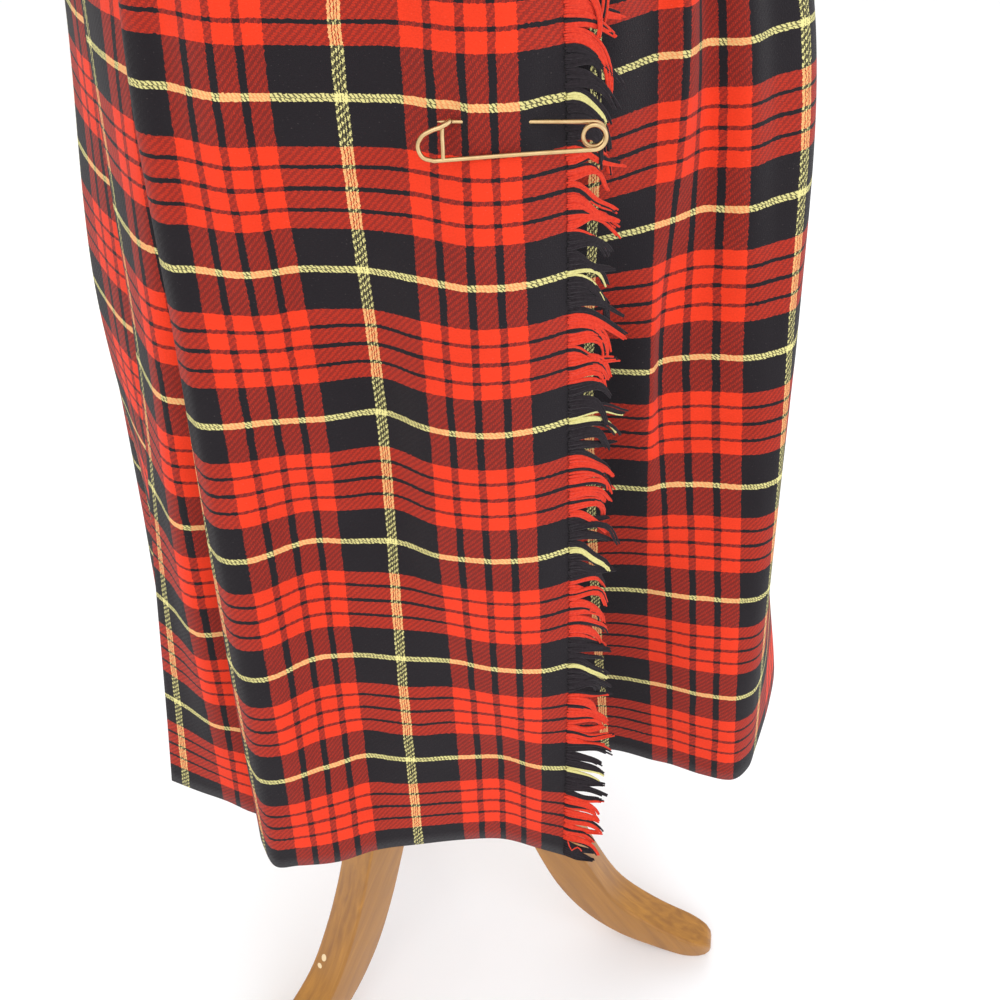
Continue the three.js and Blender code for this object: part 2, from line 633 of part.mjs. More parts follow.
// Set on the origin: middle of the box, feet at zero.
const box = new THREE.Box3().setFromObject(whole, true);
const centre = box.getCenter(new THREE.Vector3());
whole.position.set(-centre.x, -centre.y, -box.min.z);

const group = new THREE.Group();
group.name = 'kilt_skirt_on_dress_form';
group.add(whole);

export default group;
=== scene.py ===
import math
import random
import bpy
import bmesh
from mathutils import Matrix, Vector, noise


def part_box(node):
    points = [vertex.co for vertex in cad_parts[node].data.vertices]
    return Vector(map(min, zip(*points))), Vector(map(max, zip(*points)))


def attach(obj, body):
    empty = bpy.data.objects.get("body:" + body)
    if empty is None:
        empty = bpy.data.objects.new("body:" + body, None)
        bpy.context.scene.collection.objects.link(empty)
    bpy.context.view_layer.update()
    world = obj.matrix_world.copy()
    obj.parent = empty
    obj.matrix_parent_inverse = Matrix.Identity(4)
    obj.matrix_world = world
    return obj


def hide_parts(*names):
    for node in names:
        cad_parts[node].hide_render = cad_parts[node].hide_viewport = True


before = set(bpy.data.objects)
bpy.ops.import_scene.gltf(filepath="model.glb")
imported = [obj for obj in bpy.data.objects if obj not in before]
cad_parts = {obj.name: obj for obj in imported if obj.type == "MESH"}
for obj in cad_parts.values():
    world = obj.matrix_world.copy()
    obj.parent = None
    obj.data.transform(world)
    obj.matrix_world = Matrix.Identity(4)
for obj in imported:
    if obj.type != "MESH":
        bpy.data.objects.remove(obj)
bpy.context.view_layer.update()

poleLow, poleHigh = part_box("pole")
axis = (poleLow + poleHigh) / 2  # the pole's axis, which every plan below is measured from


def place(x, y, z):
    # millimetres from the foot of the pole's axis, to metres in the part's frame
    return Vector((axis.x + x / 1000, axis.y + y / 1000, z / 1000))


def lerp(a, b, t):
    return a + (b - a) * t


def clamp(value, low=0.0, high=1.0):
    return max(low, min(high, value))


def swell(t):
    # 0 at both ends of 0..1 and 1 in the middle, with soft ends
    return math.sin(math.pi * clamp(t)) ** 2


def colour(code):
    # sRGB hex to linear, as the shader sockets want it
    parts = [int(code[i:i + 2], 16) / 255 for i in (1, 3, 5)]
    return (*[c / 12.92 if c <= 0.04045 else ((c + 0.055) / 1.055) ** 2.4 for c in parts], 1.0)


def finish(piece, replaced=()):
    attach(piece, "root")
    if replaced:
        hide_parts(*replaced)
    return piece


def newPiece(name, bm, *materials, smooth=True):
    mesh = bpy.data.meshes.new(name)
    bm.to_mesh(mesh)
    bm.free()
    for material in materials:
        mesh.materials.append(material)
    mesh.polygons.foreach_set("use_smooth", [smooth] * len(mesh.polygons))
    piece = bpy.data.objects.new(name, mesh)
    bpy.context.collection.objects.link(piece)
    return piece


# mm from the pole's axis and above the floor, degrees that it looks down, and its lens in mm
cameraSet = {"x": 42, "y": -462, "z": 802, "down": 38, "lens": 34.67}

camera = bpy.data.objects.new("camera", bpy.data.cameras.new("camera"))
bpy.context.collection.objects.link(camera)
camera.data.sensor_width = 36
camera.data.lens = cameraSet["lens"]
camera.location = place(cameraSet["x"], cameraSet["y"], cameraSet["z"])
camera.rotation_euler = (math.radians(90 - cameraSet["down"]), 0, 0)
camera.data.clip_start = 0.02
bpy.context.scene.camera = camera

lightSet = {
    "key": {"at": (-600, -1700, 1900), "aim": (0, 0, 560), "size": 1.6, "watts": 9},
    "fill": {"at": (1300, -1300, 1000), "aim": (0, 0, 500), "size": 1.8, "watts": 9, "tint": "#dfe8ff"},
    "back": {"at": (200, 1700, 1700), "aim": (0, 0, 700), "size": 1.8, "watts": 12},
    "sky": 1.02,
}


def addLight(name, values):
    light = bpy.data.lights.new(name, "AREA")
    light.energy = values["watts"]
    light.size = values["size"]
    light.color = colour(values.get("tint", "#ffffff"))[:3]
    lamp = bpy.data.objects.new(name, light)
    lamp.location = place(*values["at"])
    lamp.rotation_euler = (place(*values["aim"]) - lamp.location).to_track_quat("-Z", "Y").to_euler()
    bpy.context.collection.objects.link(lamp)


for lampName in ("key", "fill", "back"):
    addLight(lampName, lightSet[lampName])

world = bpy.data.worlds.new("softRoom")
world.use_nodes = True
world.node_tree.nodes["Background"].inputs["Color"].default_value = (1, 1, 1, 1)
world.node_tree.nodes["Background"].inputs["Strength"].default_value = lightSet["sky"]
bpy.context.scene.world = world
bpy.context.scene.view_settings.view_transform = "Standard"
print("camera and lights are set")


def newMaterial(name, **shader):
    material = bpy.data.materials.new(name)
    material.use_nodes = True
    surface = material.node_tree.nodes["Principled BSDF"]
    for socket, value in shader.items():
        surface.inputs[socket.replace("_", " ")].default_value = value
    return material, material.node_tree, surface


def node(tree, kind, *inputs, **settings):
    # adds one node: inputs go to its sockets in order, or by name in a dictionary, and a node given as an
    # input stands for its first output
    kind, _, operation = kind.partition(".")
    made = tree.nodes.new("ShaderNode" + kind)
    if operation:
        made.operation = operation
    for key, value in settings.items():
        setattr(made, key, value)
    links = {}
    for k, given in enumerate(inputs):
        links.update(given if isinstance(given, dict) else {k: given})
    for socket, value in links.items():
        if isinstance(value, bpy.types.Node):
            value = value.outputs[0]
        if isinstance(value, bpy.types.NodeSocket):
            tree.links.new(value, made.inputs[socket])
        else:
            made.inputs[socket].default_value = value
    return made


# Repeat of the check, counted from the middle of a yellow line in shares of the repeat.
# Each run is its start and its yarn; a yarn's fill is how much of its own width it covers.
yarns = {"black": "#242023", "red": "#ec3d20", "yellow": "#efe596"}
check = {
    "across": 98,        # mm, along the weft
    "up": 68.5,          # mm, along the warp
    "warpEnds": 128,     # threads in one repeat, 0.77 mm apart
    "weftEnds": 96,      # picks in one repeat, 0.71 mm apart
    "lineHeight": 701,   # mm above the floor, where one yellow pick line runs
    "redFrom": 0.26,
    "redTo": 0.74,
}
warpLine = {"yarns": 4, "wide": 5.0 / check["across"], "thick": 1.35, "blackLine": 0.034}
weftLine = {
    "wide": 3.2 / check["up"], "blackLine": 0.025, "floats": 54, "slant": 34, "rowWide": 0.43, "floatLong": 0.64,
}
yarnFill = {
    "warp": {"black": 0.94, "red": 0.60, "yellow": 0.82},
    "weft": {"black": 1.0, "red": 0.80, "yellow": 1.0},
}
contrast = {"plain": 0.24, "yellowOnBlack": 0.5, "ropeOnBlack": 0.72, "ropeOnRed": 0.25}
# how the cloth strays from an even drawing: a noise's scale is counted in one repeat of the check
uneven = {
    "drift": {"scale": 7.0, "shift": 0.012},
    "thread": {"scale": 75.0, "shift": 0.014},
    "dye": {"scale": 3.0, "tone": 0.24},
    "fibre": {"scale": 110.0, "tone": 0.30, "relief": 1.2},
    "darkest": 0.70,
    "lint": {"from": 0.72, "cover": 0.10, "look": "#c9b8b0"},
}


def redGroup(line):
    # four red stripes with three black lines between them
    red = (check["redTo"] - check["redFrom"] - 3 * line) / 4
    runs = []
    at = check["redFrom"]
    for k in range(4):
        runs.append((at, "red"))
        at += red
        if k < 3:
            runs.append((at, "black"))
            at += line
    return runs


def warpRuns():
    # yellow threads with thin black gaps, half of them on each side of the line's middle
    step = warpLine["wide"] / warpLine["yarns"]
    gap = step * (2 - warpLine["thick"]) / 2
    runs = [(0.0, "black"), (gap / 2, "yellow"), (step - gap / 2, "black")]
    runs += [(step + gap / 2, "yellow"), (2 * step, "black")] + redGroup(warpLine["blackLine"])
    runs += [(check["redTo"], "black"), (1 - 2 * step, "yellow"), (1 - step - gap / 2, "black")]
    return runs + [(1 - step + gap / 2, "yellow"), (1 - gap / 2, "black")]


def weftRuns():
    half = weftLine["wide"] / 2
    runs = [(0.0, "yellow"), (half, "black")] + redGroup(weftLine["blackLine"])
    return runs + [(check["redTo"], "black"), (1 - half, "yellow")]


def runRamp(tree, position, runs, fill):
    ramp = node(tree, "ValToRGB", {"Fac": position})
    ramp.color_ramp.interpolation = "CONSTANT"
    stops = ramp.color_ramp.elements
    while len(stops) > 1:
        stops.remove(stops[-1])
    for k, (start, yarn) in enumerate(runs):
        stop = stops[0] if k == 0 else stops.new(start)
        stop.position = start
        stop.color = (*colour(yarns[yarn])[:3], fill[yarn])
    return ramp


def makeTartan(name="twillWool"):
    # Wool in a two by two twill, brushed a little: matt, with a soft bloom at grazing angles.
    material, tree, surface = newMaterial(
        name, Roughness=0.95, Specular_IOR_Level=0.12, Sheen_Weight=0.09, Sheen_Roughness=0.5)

    uv = node(tree, "UVMap", uv_map="check")
    loose = node(tree, "TexNoise", {"Vector": uv, "Scale": uneven["drift"]["scale"], "Detail": 2.0})
    wobble = node(tree, "VectorMath.SUBTRACT", loose.outputs["Color"], (0.5, 0.5, 0.5))
    wobble = node(tree, "VectorMath.SCALE", wobble, {"Scale": uneven["drift"]["shift"]})
    loose = node(tree, "TexNoise", {"Vector": uv, "Scale": uneven["thread"]["scale"], "Detail": 1.0})
    wander = node(tree, "VectorMath.SUBTRACT", loose.outputs["Color"], (0.5, 0.5, 0.5))
    wander = node(tree, "VectorMath.SCALE", wander, {"Scale": uneven["thread"]["shift"]})
    at = node(tree, "VectorMath.ADD", node(tree, "VectorMath.ADD", uv, wobble), wander)
    parts = node(tree, "SeparateXYZ", {0: at})
    across, up = parts.outputs["X"], parts.outputs["Y"]
    upPart = node(tree, "Math.FRACT", up)
    warp = runRamp(tree, node(tree, "Math.FRACT", across), warpRuns(), yarnFill["warp"])
    weft = runRamp(tree, upPart, weftRuns(), yarnFill["weft"])
    warpParts = node(tree, "SeparateColor", {0: warp})
    weftParts = node(tree, "SeparateColor", {0: weft})
    warpYellow = node(tree, "Math.GREATER_THAN", warpParts.outputs["Green"], 0.4)
    warpRed = node(tree, "Math.SUBTRACT", node(tree, "Math.GREATER_THAN", warpParts.outputs["Red"], 0.4), warpYellow)
    weftYellow = node(tree, "Math.GREATER_THAN", weftParts.outputs["Green"], 0.4)

    # the twill: which of the two threads lies on top here, and how far off its middle the point is
    warpAt = node(tree, "Math.MULTIPLY", across, check["warpEnds"])
    weftAt = node(tree, "Math.MULTIPLY", up, check["weftEnds"])
    twillAt = node(tree, "Math.SUBTRACT", node(tree, "Math.FLOOR", warpAt), node(tree, "Math.FLOOR", weftAt))
    twill = node(tree, "Math.LESS_THAN", node(tree, "Math.FRACT", node(tree, "Math.MULTIPLY", twillAt, 0.25)), 0.49)
    warpFromEdge = node(tree, "Math.PINGPONG", node(tree, "Math.SUBTRACT", warpAt, 0.5), 0.5)
    weftFromEdge = node(tree, "Math.PINGPONG", node(tree, "Math.SUBTRACT", weftAt, 0.5), 0.5)
    warpOff = node(tree, "Math.MULTIPLY", warpFromEdge, 2.0)
    weftOff = node(tree, "Math.MULTIPLY", weftFromEdge, 2.0)
    warpOver = node(tree, "Math.MULTIPLY", twill, node(tree, "Math.LESS_THAN", warpOff, warp.outputs["Alpha"]))
    besideWeft = node(tree, "Math.GREATER_THAN", weftOff, weft.outputs["Alpha"])
    gap = node(tree, "Math.MULTIPLY", besideWeft, node(tree, "Math.SUBTRACT", 1.0, twill))
    onTop = node(tree, "Math.MAXIMUM", warpOver, gap)
    bothFills = node(tree, "Math.SUBTRACT", node(tree, "Math.ADD", 1.0, warp.outputs["Alpha"]), weft.outputs["Alpha"])
    average = node(tree, "Math.MULTIPLY", bothFills, 0.5)
    weftBlack = node(tree, "Math.LESS_THAN", weftParts.outputs["Red"], 0.4)
    yellowOnBlack = node(tree, "Math.MULTIPLY", warpYellow, weftBlack)
    crisp = node(tree, "Math.MULTIPLY_ADD", yellowOnBlack, contrast["yellowOnBlack"], contrast["plain"])
    plain = node(tree, "Math.MULTIPLY", crisp, node(tree, "Math.SUBTRACT", onTop, average))
    plain = node(tree, "Math.ADD", plain, average)

    # the yellow picks lie as two rows of slanting floats, like a laid cord
    local = node(tree, "Math.DIVIDE", node(tree, "Math.PINGPONG", up, 0.5), weftLine["wide"] / 2)
    fromRow = node(tree, "Math.ABSOLUTE", node(tree, "Math.SUBTRACT", local, 0.5))
    inRow = node(tree, "Math.LESS_THAN", fromRow, weftLine["rowWide"])
    along = node(tree, "Math.MULTIPLY", across, weftLine["floats"])
    phase = node(tree, "Math.ADD", along, node(tree, "Math.MULTIPLY", up, weftLine["slant"]))
    otherRow = node(tree, "Math.LESS_THAN", upPart, 0.5)
    phase = node(tree, "Math.ADD", phase, node(tree, "Math.MULTIPLY", otherRow, 0.5))
    onFloat = node(tree, "Math.LESS_THAN", node(tree, "Math.FRACT", phase), weftLine["floatLong"])
    floats = node(tree, "Math.MULTIPLY", inRow, onFloat)
    lessOnRed = contrast["ropeOnRed"] - contrast["ropeOnBlack"]
    ropeCrisp = node(tree, "Math.MULTIPLY_ADD", warpRed, lessOnRed, contrast["ropeOnBlack"])
    rope = node(tree, "Math.MULTIPLY", ropeCrisp, node(tree, "Math.SUBTRACT", 0.5, floats))
    rope = node(tree, "Math.ADD", rope, 0.5)
    isRope = node(tree, "Math.MULTIPLY", weftYellow, node(tree, "Math.SUBTRACT", 1.0, warpYellow))
    shown = node(tree, "Mix", {0: isRope, 2: plain, 3: rope}, data_type="FLOAT")
    woven = node(tree, "MixRGB", {"Fac": shown, "Color1": weft, "Color2": warp})

    # uneven dye and lint, at the size of a hand's width and of a few threads
    dye = node(tree, "TexNoise", {"Vector": uv, "Scale": uneven["dye"]["scale"], "Detail": 3.0})
    fibre = node(tree, "TexNoise", {"Vector": uv, "Scale": uneven["fibre"]["scale"], "Detail": 2.0})
    tone = node(tree, "Math.MULTIPLY_ADD", dye, uneven["dye"]["tone"], uneven["darkest"])
    tone = node(tree, "Math.ADD", tone, node(tree, "Math.MULTIPLY", fibre, uneven["fibre"]["tone"]))
    shaded = node(tree, "VectorMath.SCALE", woven, {"Scale": tone})
    linty = node(tree, "Math.GREATER_THAN", fibre, uneven["lint"]["from"])
    lint = node(tree, "Math.MULTIPLY", linty, uneven["lint"]["cover"])
    dusted = node(tree, "MixRGB", {"Fac": lint, "Color1": shaded, "Color2": colour(uneven["lint"]["look"])})
    tree.links.new(dusted.outputs[0], surface.inputs["Base Color"])

    weftHeight = node(tree, "Math.MULTIPLY", weftOff, -1.0)
    warpHeight = node(tree, "Math.MULTIPLY", warpOff, -1.0)
    height = node(tree, "Mix", {0: onTop, 2: weftHeight, 3: warpHeight}, data_type="FLOAT")
    relief = node(tree, "Math.ADD", height, node(tree, "Math.MULTIPLY", fibre, uneven["fibre"]["relief"]))
    bump = node(tree, "Bump", {"Height": relief, "Strength": 0.32, "Distance": 0.0004})
    tree.links.new(bump.outputs[0], surface.inputs["Normal"])
    return material


def makeYarn(name, code):
    # Loose singles of the same wool: matt, hairy, with painted shade darkening the hollows between the plies.
    material, tree, surface = newMaterial(name, Roughness=0.95, Specular_IOR_Level=0.1, Sheen_Weight=0.1)
    where = node(tree, "TexCoord")
    hairs = node(tree, "TexNoise", {"Vector": where.outputs["Object"], "Scale": 900.0, "Detail": 2.0})
    # the first, darker colour falls where the bump dips: painted shade in the hollows
    mix = node(tree, "MixRGB", {"Fac": hairs, "Color1": colour(code[0]), "Color2": colour(code[1])})
    tree.links.new(mix.outputs[0], surface.inputs["Base Color"])
    bump = node(tree, "Bump", {"Height": hairs, "Strength": 0.5, "Distance": 0.0003})
    tree.links.new(bump.outputs[0], surface.inputs["Normal"])
    return material


# chips in the varnish: mm along the leg from the pole, across the board, up; only on the left leg, whose
# board is set a long way off sideways from the others in the pattern's space
boardOffset = 500
chips = [
    {"at": (135.1, boardOffset - 6, 74.2), "squash": (1, 1, 0.7), "size": 2.6},
    {"at": (139.5, boardOffset - 7, 67.0), "squash": (1, 0.8, 0.9), "size": 2.1},
]


def makeWood(name="varnishedBeech"):
    # Beech stained orange-brown under gloss varnish: long grain, deep clear shine, a few chips.
    material, tree, surface = newMaterial(
        name, Roughness=0.45, Specular_IOR_Level=0.4, Coat_Weight=0.35, Coat_Roughness=0.14, Coat_IOR=1.5)
    board = node(tree, "Attribute", attribute_name="board")  # mm along, across and up the board
    turned = node(tree, "Mapping", {0: board.outputs["Vector"], "Rotation": (0, math.radians(-56), 0)})
    stretched = node(tree, "Mapping", {0: turned, "Scale": (0.012, 0.22, 0.16)})
    grain = node(tree, "TexNoise", {"Vector": stretched, "Scale": 1.0, "Detail": 6.0, "Distortion": 0.5})
    fine = node(tree, "Mapping", {0: turned, "Scale": (0.05, 1.6, 1.3)})
    pores = node(tree, "TexNoise", {"Vector": fine, "Scale": 1.0, "Detail": 3.0})
    wide = node(tree, "Mapping", {0: board.outputs["Vector"], "Scale": (0.02, 0.03, 0.02)})
    broad = node(tree, "TexNoise", {"Vector": wide, "Scale": 1.0, "Detail": 2.0})
    ramp = node(tree, "ValToRGB", {"Fac": grain})
    ramp.color_ramp.elements[0].position = 0.3
    ramp.color_ramp.elements[0].color = colour("#845010")
    ramp.color_ramp.elements[1].position = 0.72
    ramp.color_ramp.elements[1].color = colour("#bd8026")
    darker = node(tree, "MixRGB", {"Fac": node(tree, "Math.MULTIPLY", pores, 0.35),
                                   "Color1": ramp, "Color2": colour("#73480f")})
    warm = node(tree, "MixRGB", {"Fac": node(tree, "Math.MULTIPLY", broad, 0.5),
                                 "Color1": darker, "Color2": colour("#b2781a")})
    sideShade = node(tree, "Attribute", attribute_name="flatSide")  # painted shade, darker on the boards' flat sides
    last = node(tree, "MixRGB", {"Fac": node(tree, "Math.MULTIPLY", sideShade.outputs["Fac"], 0.3),
                                 "Color1": warm, "Color2": colour("#96662e")})
    for chip in chips:
        away = node(tree, "VectorMath.SUBTRACT", board.outputs["Vector"], chip["at"])
        away = node(tree, "VectorMath.MULTIPLY", away, chip["squash"])
        away = node(tree, "VectorMath.LENGTH", away)
        bare = node(tree, "Math.LESS_THAN", away.outputs["Value"], chip["size"])
        last = node(tree, "MixRGB", {"Fac": bare, "Color1": last, "Color2": colour("#ecd2a4")})
    tree.links.new(last.outputs[0], surface.inputs["Base Color"])
    bump = node(tree, "Bump", {"Height": grain, "Strength": 0.12, "Distance": 0.001})
    tree.links.new(bump.outputs[0], surface.inputs["Normal"])
    return material


def makeJersey(name="cottonJersey"):
    # Fine cotton jersey stretched over the form: matt off-white, ribs of knit about 2.2 mm apart.
    material, tree, surface = newMaterial(name, Roughness=0.9, Specular_IOR_Level=0.2, Sheen_Weight=0.15)
    where = node(tree, "TexCoord")
    wave = {"Vector": where.outputs["Object"], "Scale": 145.0, "Distortion": 1.0, "Detail": 1.0}
    ribs = node(tree, "TexWave", wave, bands_direction="X")
    fuzz = node(tree, "TexNoise", {"Vector": where.outputs["Object"], "Scale": 500.0, "Detail": 3.0})
    cloud = node(tree, "TexNoise", {"Vector": where.outputs["Object"], "Scale": 9.0, "Detail": 3.0})
    ramp = node(tree, "MixRGB", {"Fac": cloud, "Color1": colour("#d3c8b6"), "Color2": colour("#e4dccd")})
    mixed = node(tree, "MixRGB", {"Fac": node(tree, "Math.MULTIPLY", fuzz, 0.3),
                                  "Color1": ramp, "Color2": colour("#bfb29e")})
    tree.links.new(mixed.outputs[0], surface.inputs["Base Color"])
    both = node(tree, "Math.ADD", ribs.outputs["Fac"], fuzz)
    bump = node(tree, "Bump", {"Height": both, "Strength": 0.3, "Distance": 0.0004})
    tree.links.new(bump.outputs[0], surface.inputs["Normal"])
    return material


def makeWire(name="brassWire"):
    # Drawn brass-plated wire: pale gold, smooth, with faint drawing marks and a little tarnish.
    material, tree, surface = newMaterial(name, Metallic=1.0)
    where = node(tree, "TexCoord")
    marks = node(tree, "TexNoise", {"Vector": where.outputs["Object"], "Scale": 260.0, "Detail": 3.0})
    tarnish = node(tree, "MixRGB", {"Fac": marks, "Color1": colour("#e4c898"), "Color2": colour("#bf9c68")})
    tree.links.new(tarnish.outputs[0], surface.inputs["Base Color"])
    rough = node(tree, "MapRange", {"Value": marks, "To Min": 0.22, "To Max": 0.42})
    tree.links.new(rough.outputs[0], surface.inputs["Roughness"])
    return material


def makeHorn(name="buffaloHorn"):
    # Turned horn: near black with brown streaks, dull polish.
    material, tree, surface = newMaterial(name, Roughness=0.38, Specular_IOR_Level=0.5)
    where = node(tree, "TexCoord")
    streak = node(tree, "Mapping", {0: where.outputs["Object"], "Scale": (60, 60, 600)})
    cloud = node(tree, "TexNoise", {"Vector": streak, "Scale": 1.0, "Detail": 4.0})
    mixed = node(tree, "MixRGB", {"Fac": cloud, "Color1": colour("#171310"), "Color2": colour("#3d2c20")})
    tree.links.new(mixed.outputs[0], surface.inputs["Base Color"])
    bump = node(tree, "Bump", {"Height": cloud, "Strength": 0.1, "Distance": 0.0005})
    tree.links.new(bump.outputs[0], surface.inputs["Normal"])
    return material


def makeSteel(name="brushedSteel"):
    # Steel tube brushed round: grey, with streaks about 0.3 mm apart that spread the shine.
    material, tree, surface = newMaterial(name, Metallic=1.0)
    where = node(tree, "TexCoord")
    lines = node(tree, "Mapping", {0: where.outputs["Object"], "Scale": (30, 30, 3300)})
    brushed = node(tree, "TexNoise", {"Vector": lines, "Scale": 1.0, "Detail": 2.0})
    grey = node(tree, "MixRGB", {"Fac": brushed, "Color1": colour("#86868a"), "Color2": colour("#a9a9ac")})
    tree.links.new(grey.outputs[0], surface.inputs["Base Color"])
    rough = node(tree, "MapRange", {"Value": brushed, "To Min": 0.28, "To Max": 0.48})
    tree.links.new(rough.outputs[0], surface.inputs["Roughness"])
    return material


tartan = makeTartan()
# each pair is the painted shade in the hollows, then the yarn's lit colour
yarnLooks = {
    "black": makeYarn("blackWoolYarn", ("#1a1618", "#332c30")),
    "red": makeYarn("redWoolYarn", ("#b8281a", "#f04a30")),
    "yellow": makeYarn("yellowWoolYarn", ("#b9b06c", "#efe69c")),
}
wood = makeWood()
jersey = makeJersey()
wire = makeWire()
horn = makeHorn()
steel = makeSteel()
print("materials are made")


# plan of the skirt, in mm from the pole's axis, the front towards -Y
cloth = {
    "wall": 1.2, "foldRadius": 1.2, "hem": 294, "drop": 557, "hip": 407,
    "sideLift": 12, "sideReach": 190, "seamGap": 0.3, "rows": 72, "drift": 0.5,
}
levels = (0, 133, 270, 407, 557)  # heights above the hem that a table row's five values stand for

ring = {
    "under": ((-45, -151), (-51, -120), (-52, -103), (-62, -95), (-45, -90)),
    "apron": ((-83, -158), (-88, -134), (-91, -109), (-92, -84), (-80, -72)),
    "panel1": ((-124, -134), (-122, -108), (-117, -86), (-115, -60), (-95, -61)),
    "fold1": ((-159, -102), (-147, -75), (-134, -50), (-130, -27), (-108, -47)),
    "panel2": ((-173, -68), (-163, -37), (-160, -14), (-150, 10), (-119, -32)),
    "fold2": ((-181, -28), (-173, 2), (-179, 26), (-165, 48), (-127, -14)),
    "leftSide": ((-203, 45), (-198, 55), (-194, 72), (-177, 84), (-131, 14)),
    "leftBack": ((-172, 130), (-165, 126), (-157, 124), (-146, 121), (-95, 84)),
    "back": ((0, 196), (0, 184), (0, 172), (0, 161), (0, 114)),
    "rightBack": ((184, 132), (172, 127), (166, 120), (154, 114), (95, 84)),
    "rightSide": ((238, 60), (217, 54), (207, 50), (189, 44), (130, 4)),
    "beyond": ((238, 0), (210, -8), (204, 0), (188, 8), (128, -18)),
}
ringKnot = {name: k for k, name in enumerate(ring)}
pleats = {
    "backPleats": 10, "depth": (16, 13, 9.5, 7, 6.8), "leastBack": 1.5, "backStep": 0.25, "sewnAt": 0.8,
    "seamAt": 1.4,      # mm past the first hollow at which the over-apron is sewn to the pleats
    "leaveAt": 3.6,     # mm past it at which the first panel starts to rise
}

hollow1 = ((-78, -130), (-80, -109), (-81, -90), (-82, -71.4), (-45, -80.6))
panel1 = {
    "near": ((-107, -121), (-104, -102), (-101, -89), (-97, -73), (-68, -68)),
    "mid": ((-123, -114), (-118, -102), (-111, -87), (-105, -65), (-83, -61)),
    "out": ((-142, -108), (-134, -86.5), (-123, -70.5), (-117, -49), (-97, -54)),
}

# the over-apron from the fringe to its folded edge, with the place in the check where a row is marked
apronStations = {
    "root": (1.91, (81, -149), (79, -122), (74, -101), (67, -96), (58, -93.5)),
    "side": (1.74, (66, -144), (63, -126), (56, -109), (48.5, -107), (44, -97)),
    "pin": (1.5, (44, -137), (39, -124), (33, -112), (29, -107.5), (26, -99)),
    "slopeR": (1.26, (21, -137), (16, -118), (11, -106), (7, -95.5), (8, -99.5)),
    "mid": (1.0, (-6, -140), (-10, -116), (-12, -92), (-16, -94), (-12, -98)),
    "hollow": (0.74, (-30, -144), (-35, -114), (-37, -98), (-42, -95), (-32, -94.5)),
    "slopeL": (0.5, (-52, -152), (-56, -118), (-58, -102), (-61, -97), (-50, -88.5)),
    "ridge": (0.26, (-74, -155), (-76, -132), (-80, -108), (-81, -86.5), (-64, -82)),
    "roll": (None, (-86, -156), (-88, -132), (-90, -108), (-90, -85.5), (-75, -77)),
    "turn": (None, (-94, -146), (-96, -123), (-95, -103), (-94.5, -82), (-79.5, -74)),
    "edge": (None, (-99, -133), (-100, -114), (-98, -97), (-96, -77.5), (-80, -71)),
    "inner": (None, (-94, -129), (-95, -111), (-93, -93.5), (-91, -75.5), (-75, -72)),
}

underStations = {
    "sideBack": (None, (230, 46), (210, 44), (199, 42), (181, 36), (122, -4)),
    "side": (None, (229, -8), (203, -10), (197, 2), (180, 9), (120, -20)),
    "sideFront": (None, (217, -48), (194, -56), (188, -38), (176.5, -8), (117, -29)),
    "corner": (1.0, (201, -83), (189, -75.5), (181, -52.5), (171, -17), (113, -37.5)),
    "byCorner": (0.88, (194, -96), (182, -82.5), (171, -56), (156, -25), (109, -45)),
    "ridge": (0.74, (184, -103), (172, -83), (158, -57), (144, -37), (103, -53)),
    "stepOut": (0.56, (167, -98), (154, -78.5), (138, -53), (127, -33.5), (96.5, -60)),
    "stepIn": (0.38, (149, -89), (136, -74), (119, -55), (117.5, -48), (89.5, -66)),
    "hollow": (0.26, (138, -85), (124, -71), (113, -63.5), (105, -50), (84, -69.5)),
    "atFringe": (0.03, (112, -75), (99, -67), (89, -61), (84, -70), (74, -76)),
    "hiddenA": (None, (60, -75), (60, -71), (60, -73), (57, -80), (40, -86)),
    "hiddenB": (None, (5, -79), (5, -75), (5, -81), (5, -86), (0, -90)),
    "end": (None, (-54, -84), (-54, -79), (-52, -80), (-46, -82), (-30, -86)),
}


def between(values, h):
    # smooth value between the five levels
    last = len(levels) - 1
    i = 0
    while i < last - 1 and h > levels[i + 1]:
        i += 1
    span = levels[i + 1] - levels[i]
    t = clamp((h - levels[i]) / span)

    def chord(j):
        return (values[j + 1] - values[j]) / (levels[j + 1] - levels[j])

    def slope(j):
        if j == 0:
            return chord(0)
        if j == last:
            return 1.4 * chord(last - 1) - 0.4 * slope(last - 1)
        return (chord(j - 1) + chord(j)) / 2

    ends = values[i] * (2 * t ** 3 - 3 * t ** 2 + 1) + values[i + 1] * (3 * t ** 2 - 2 * t ** 3)
    return ends + span * (slope(i) * (t ** 3 - 2 * t ** 2 + t) + slope(i + 1) * (t ** 3 - t ** 2))


def planAt(row, h):
    return Vector((between([p[0] for p in row], h), between([p[1] for p in row], h)))


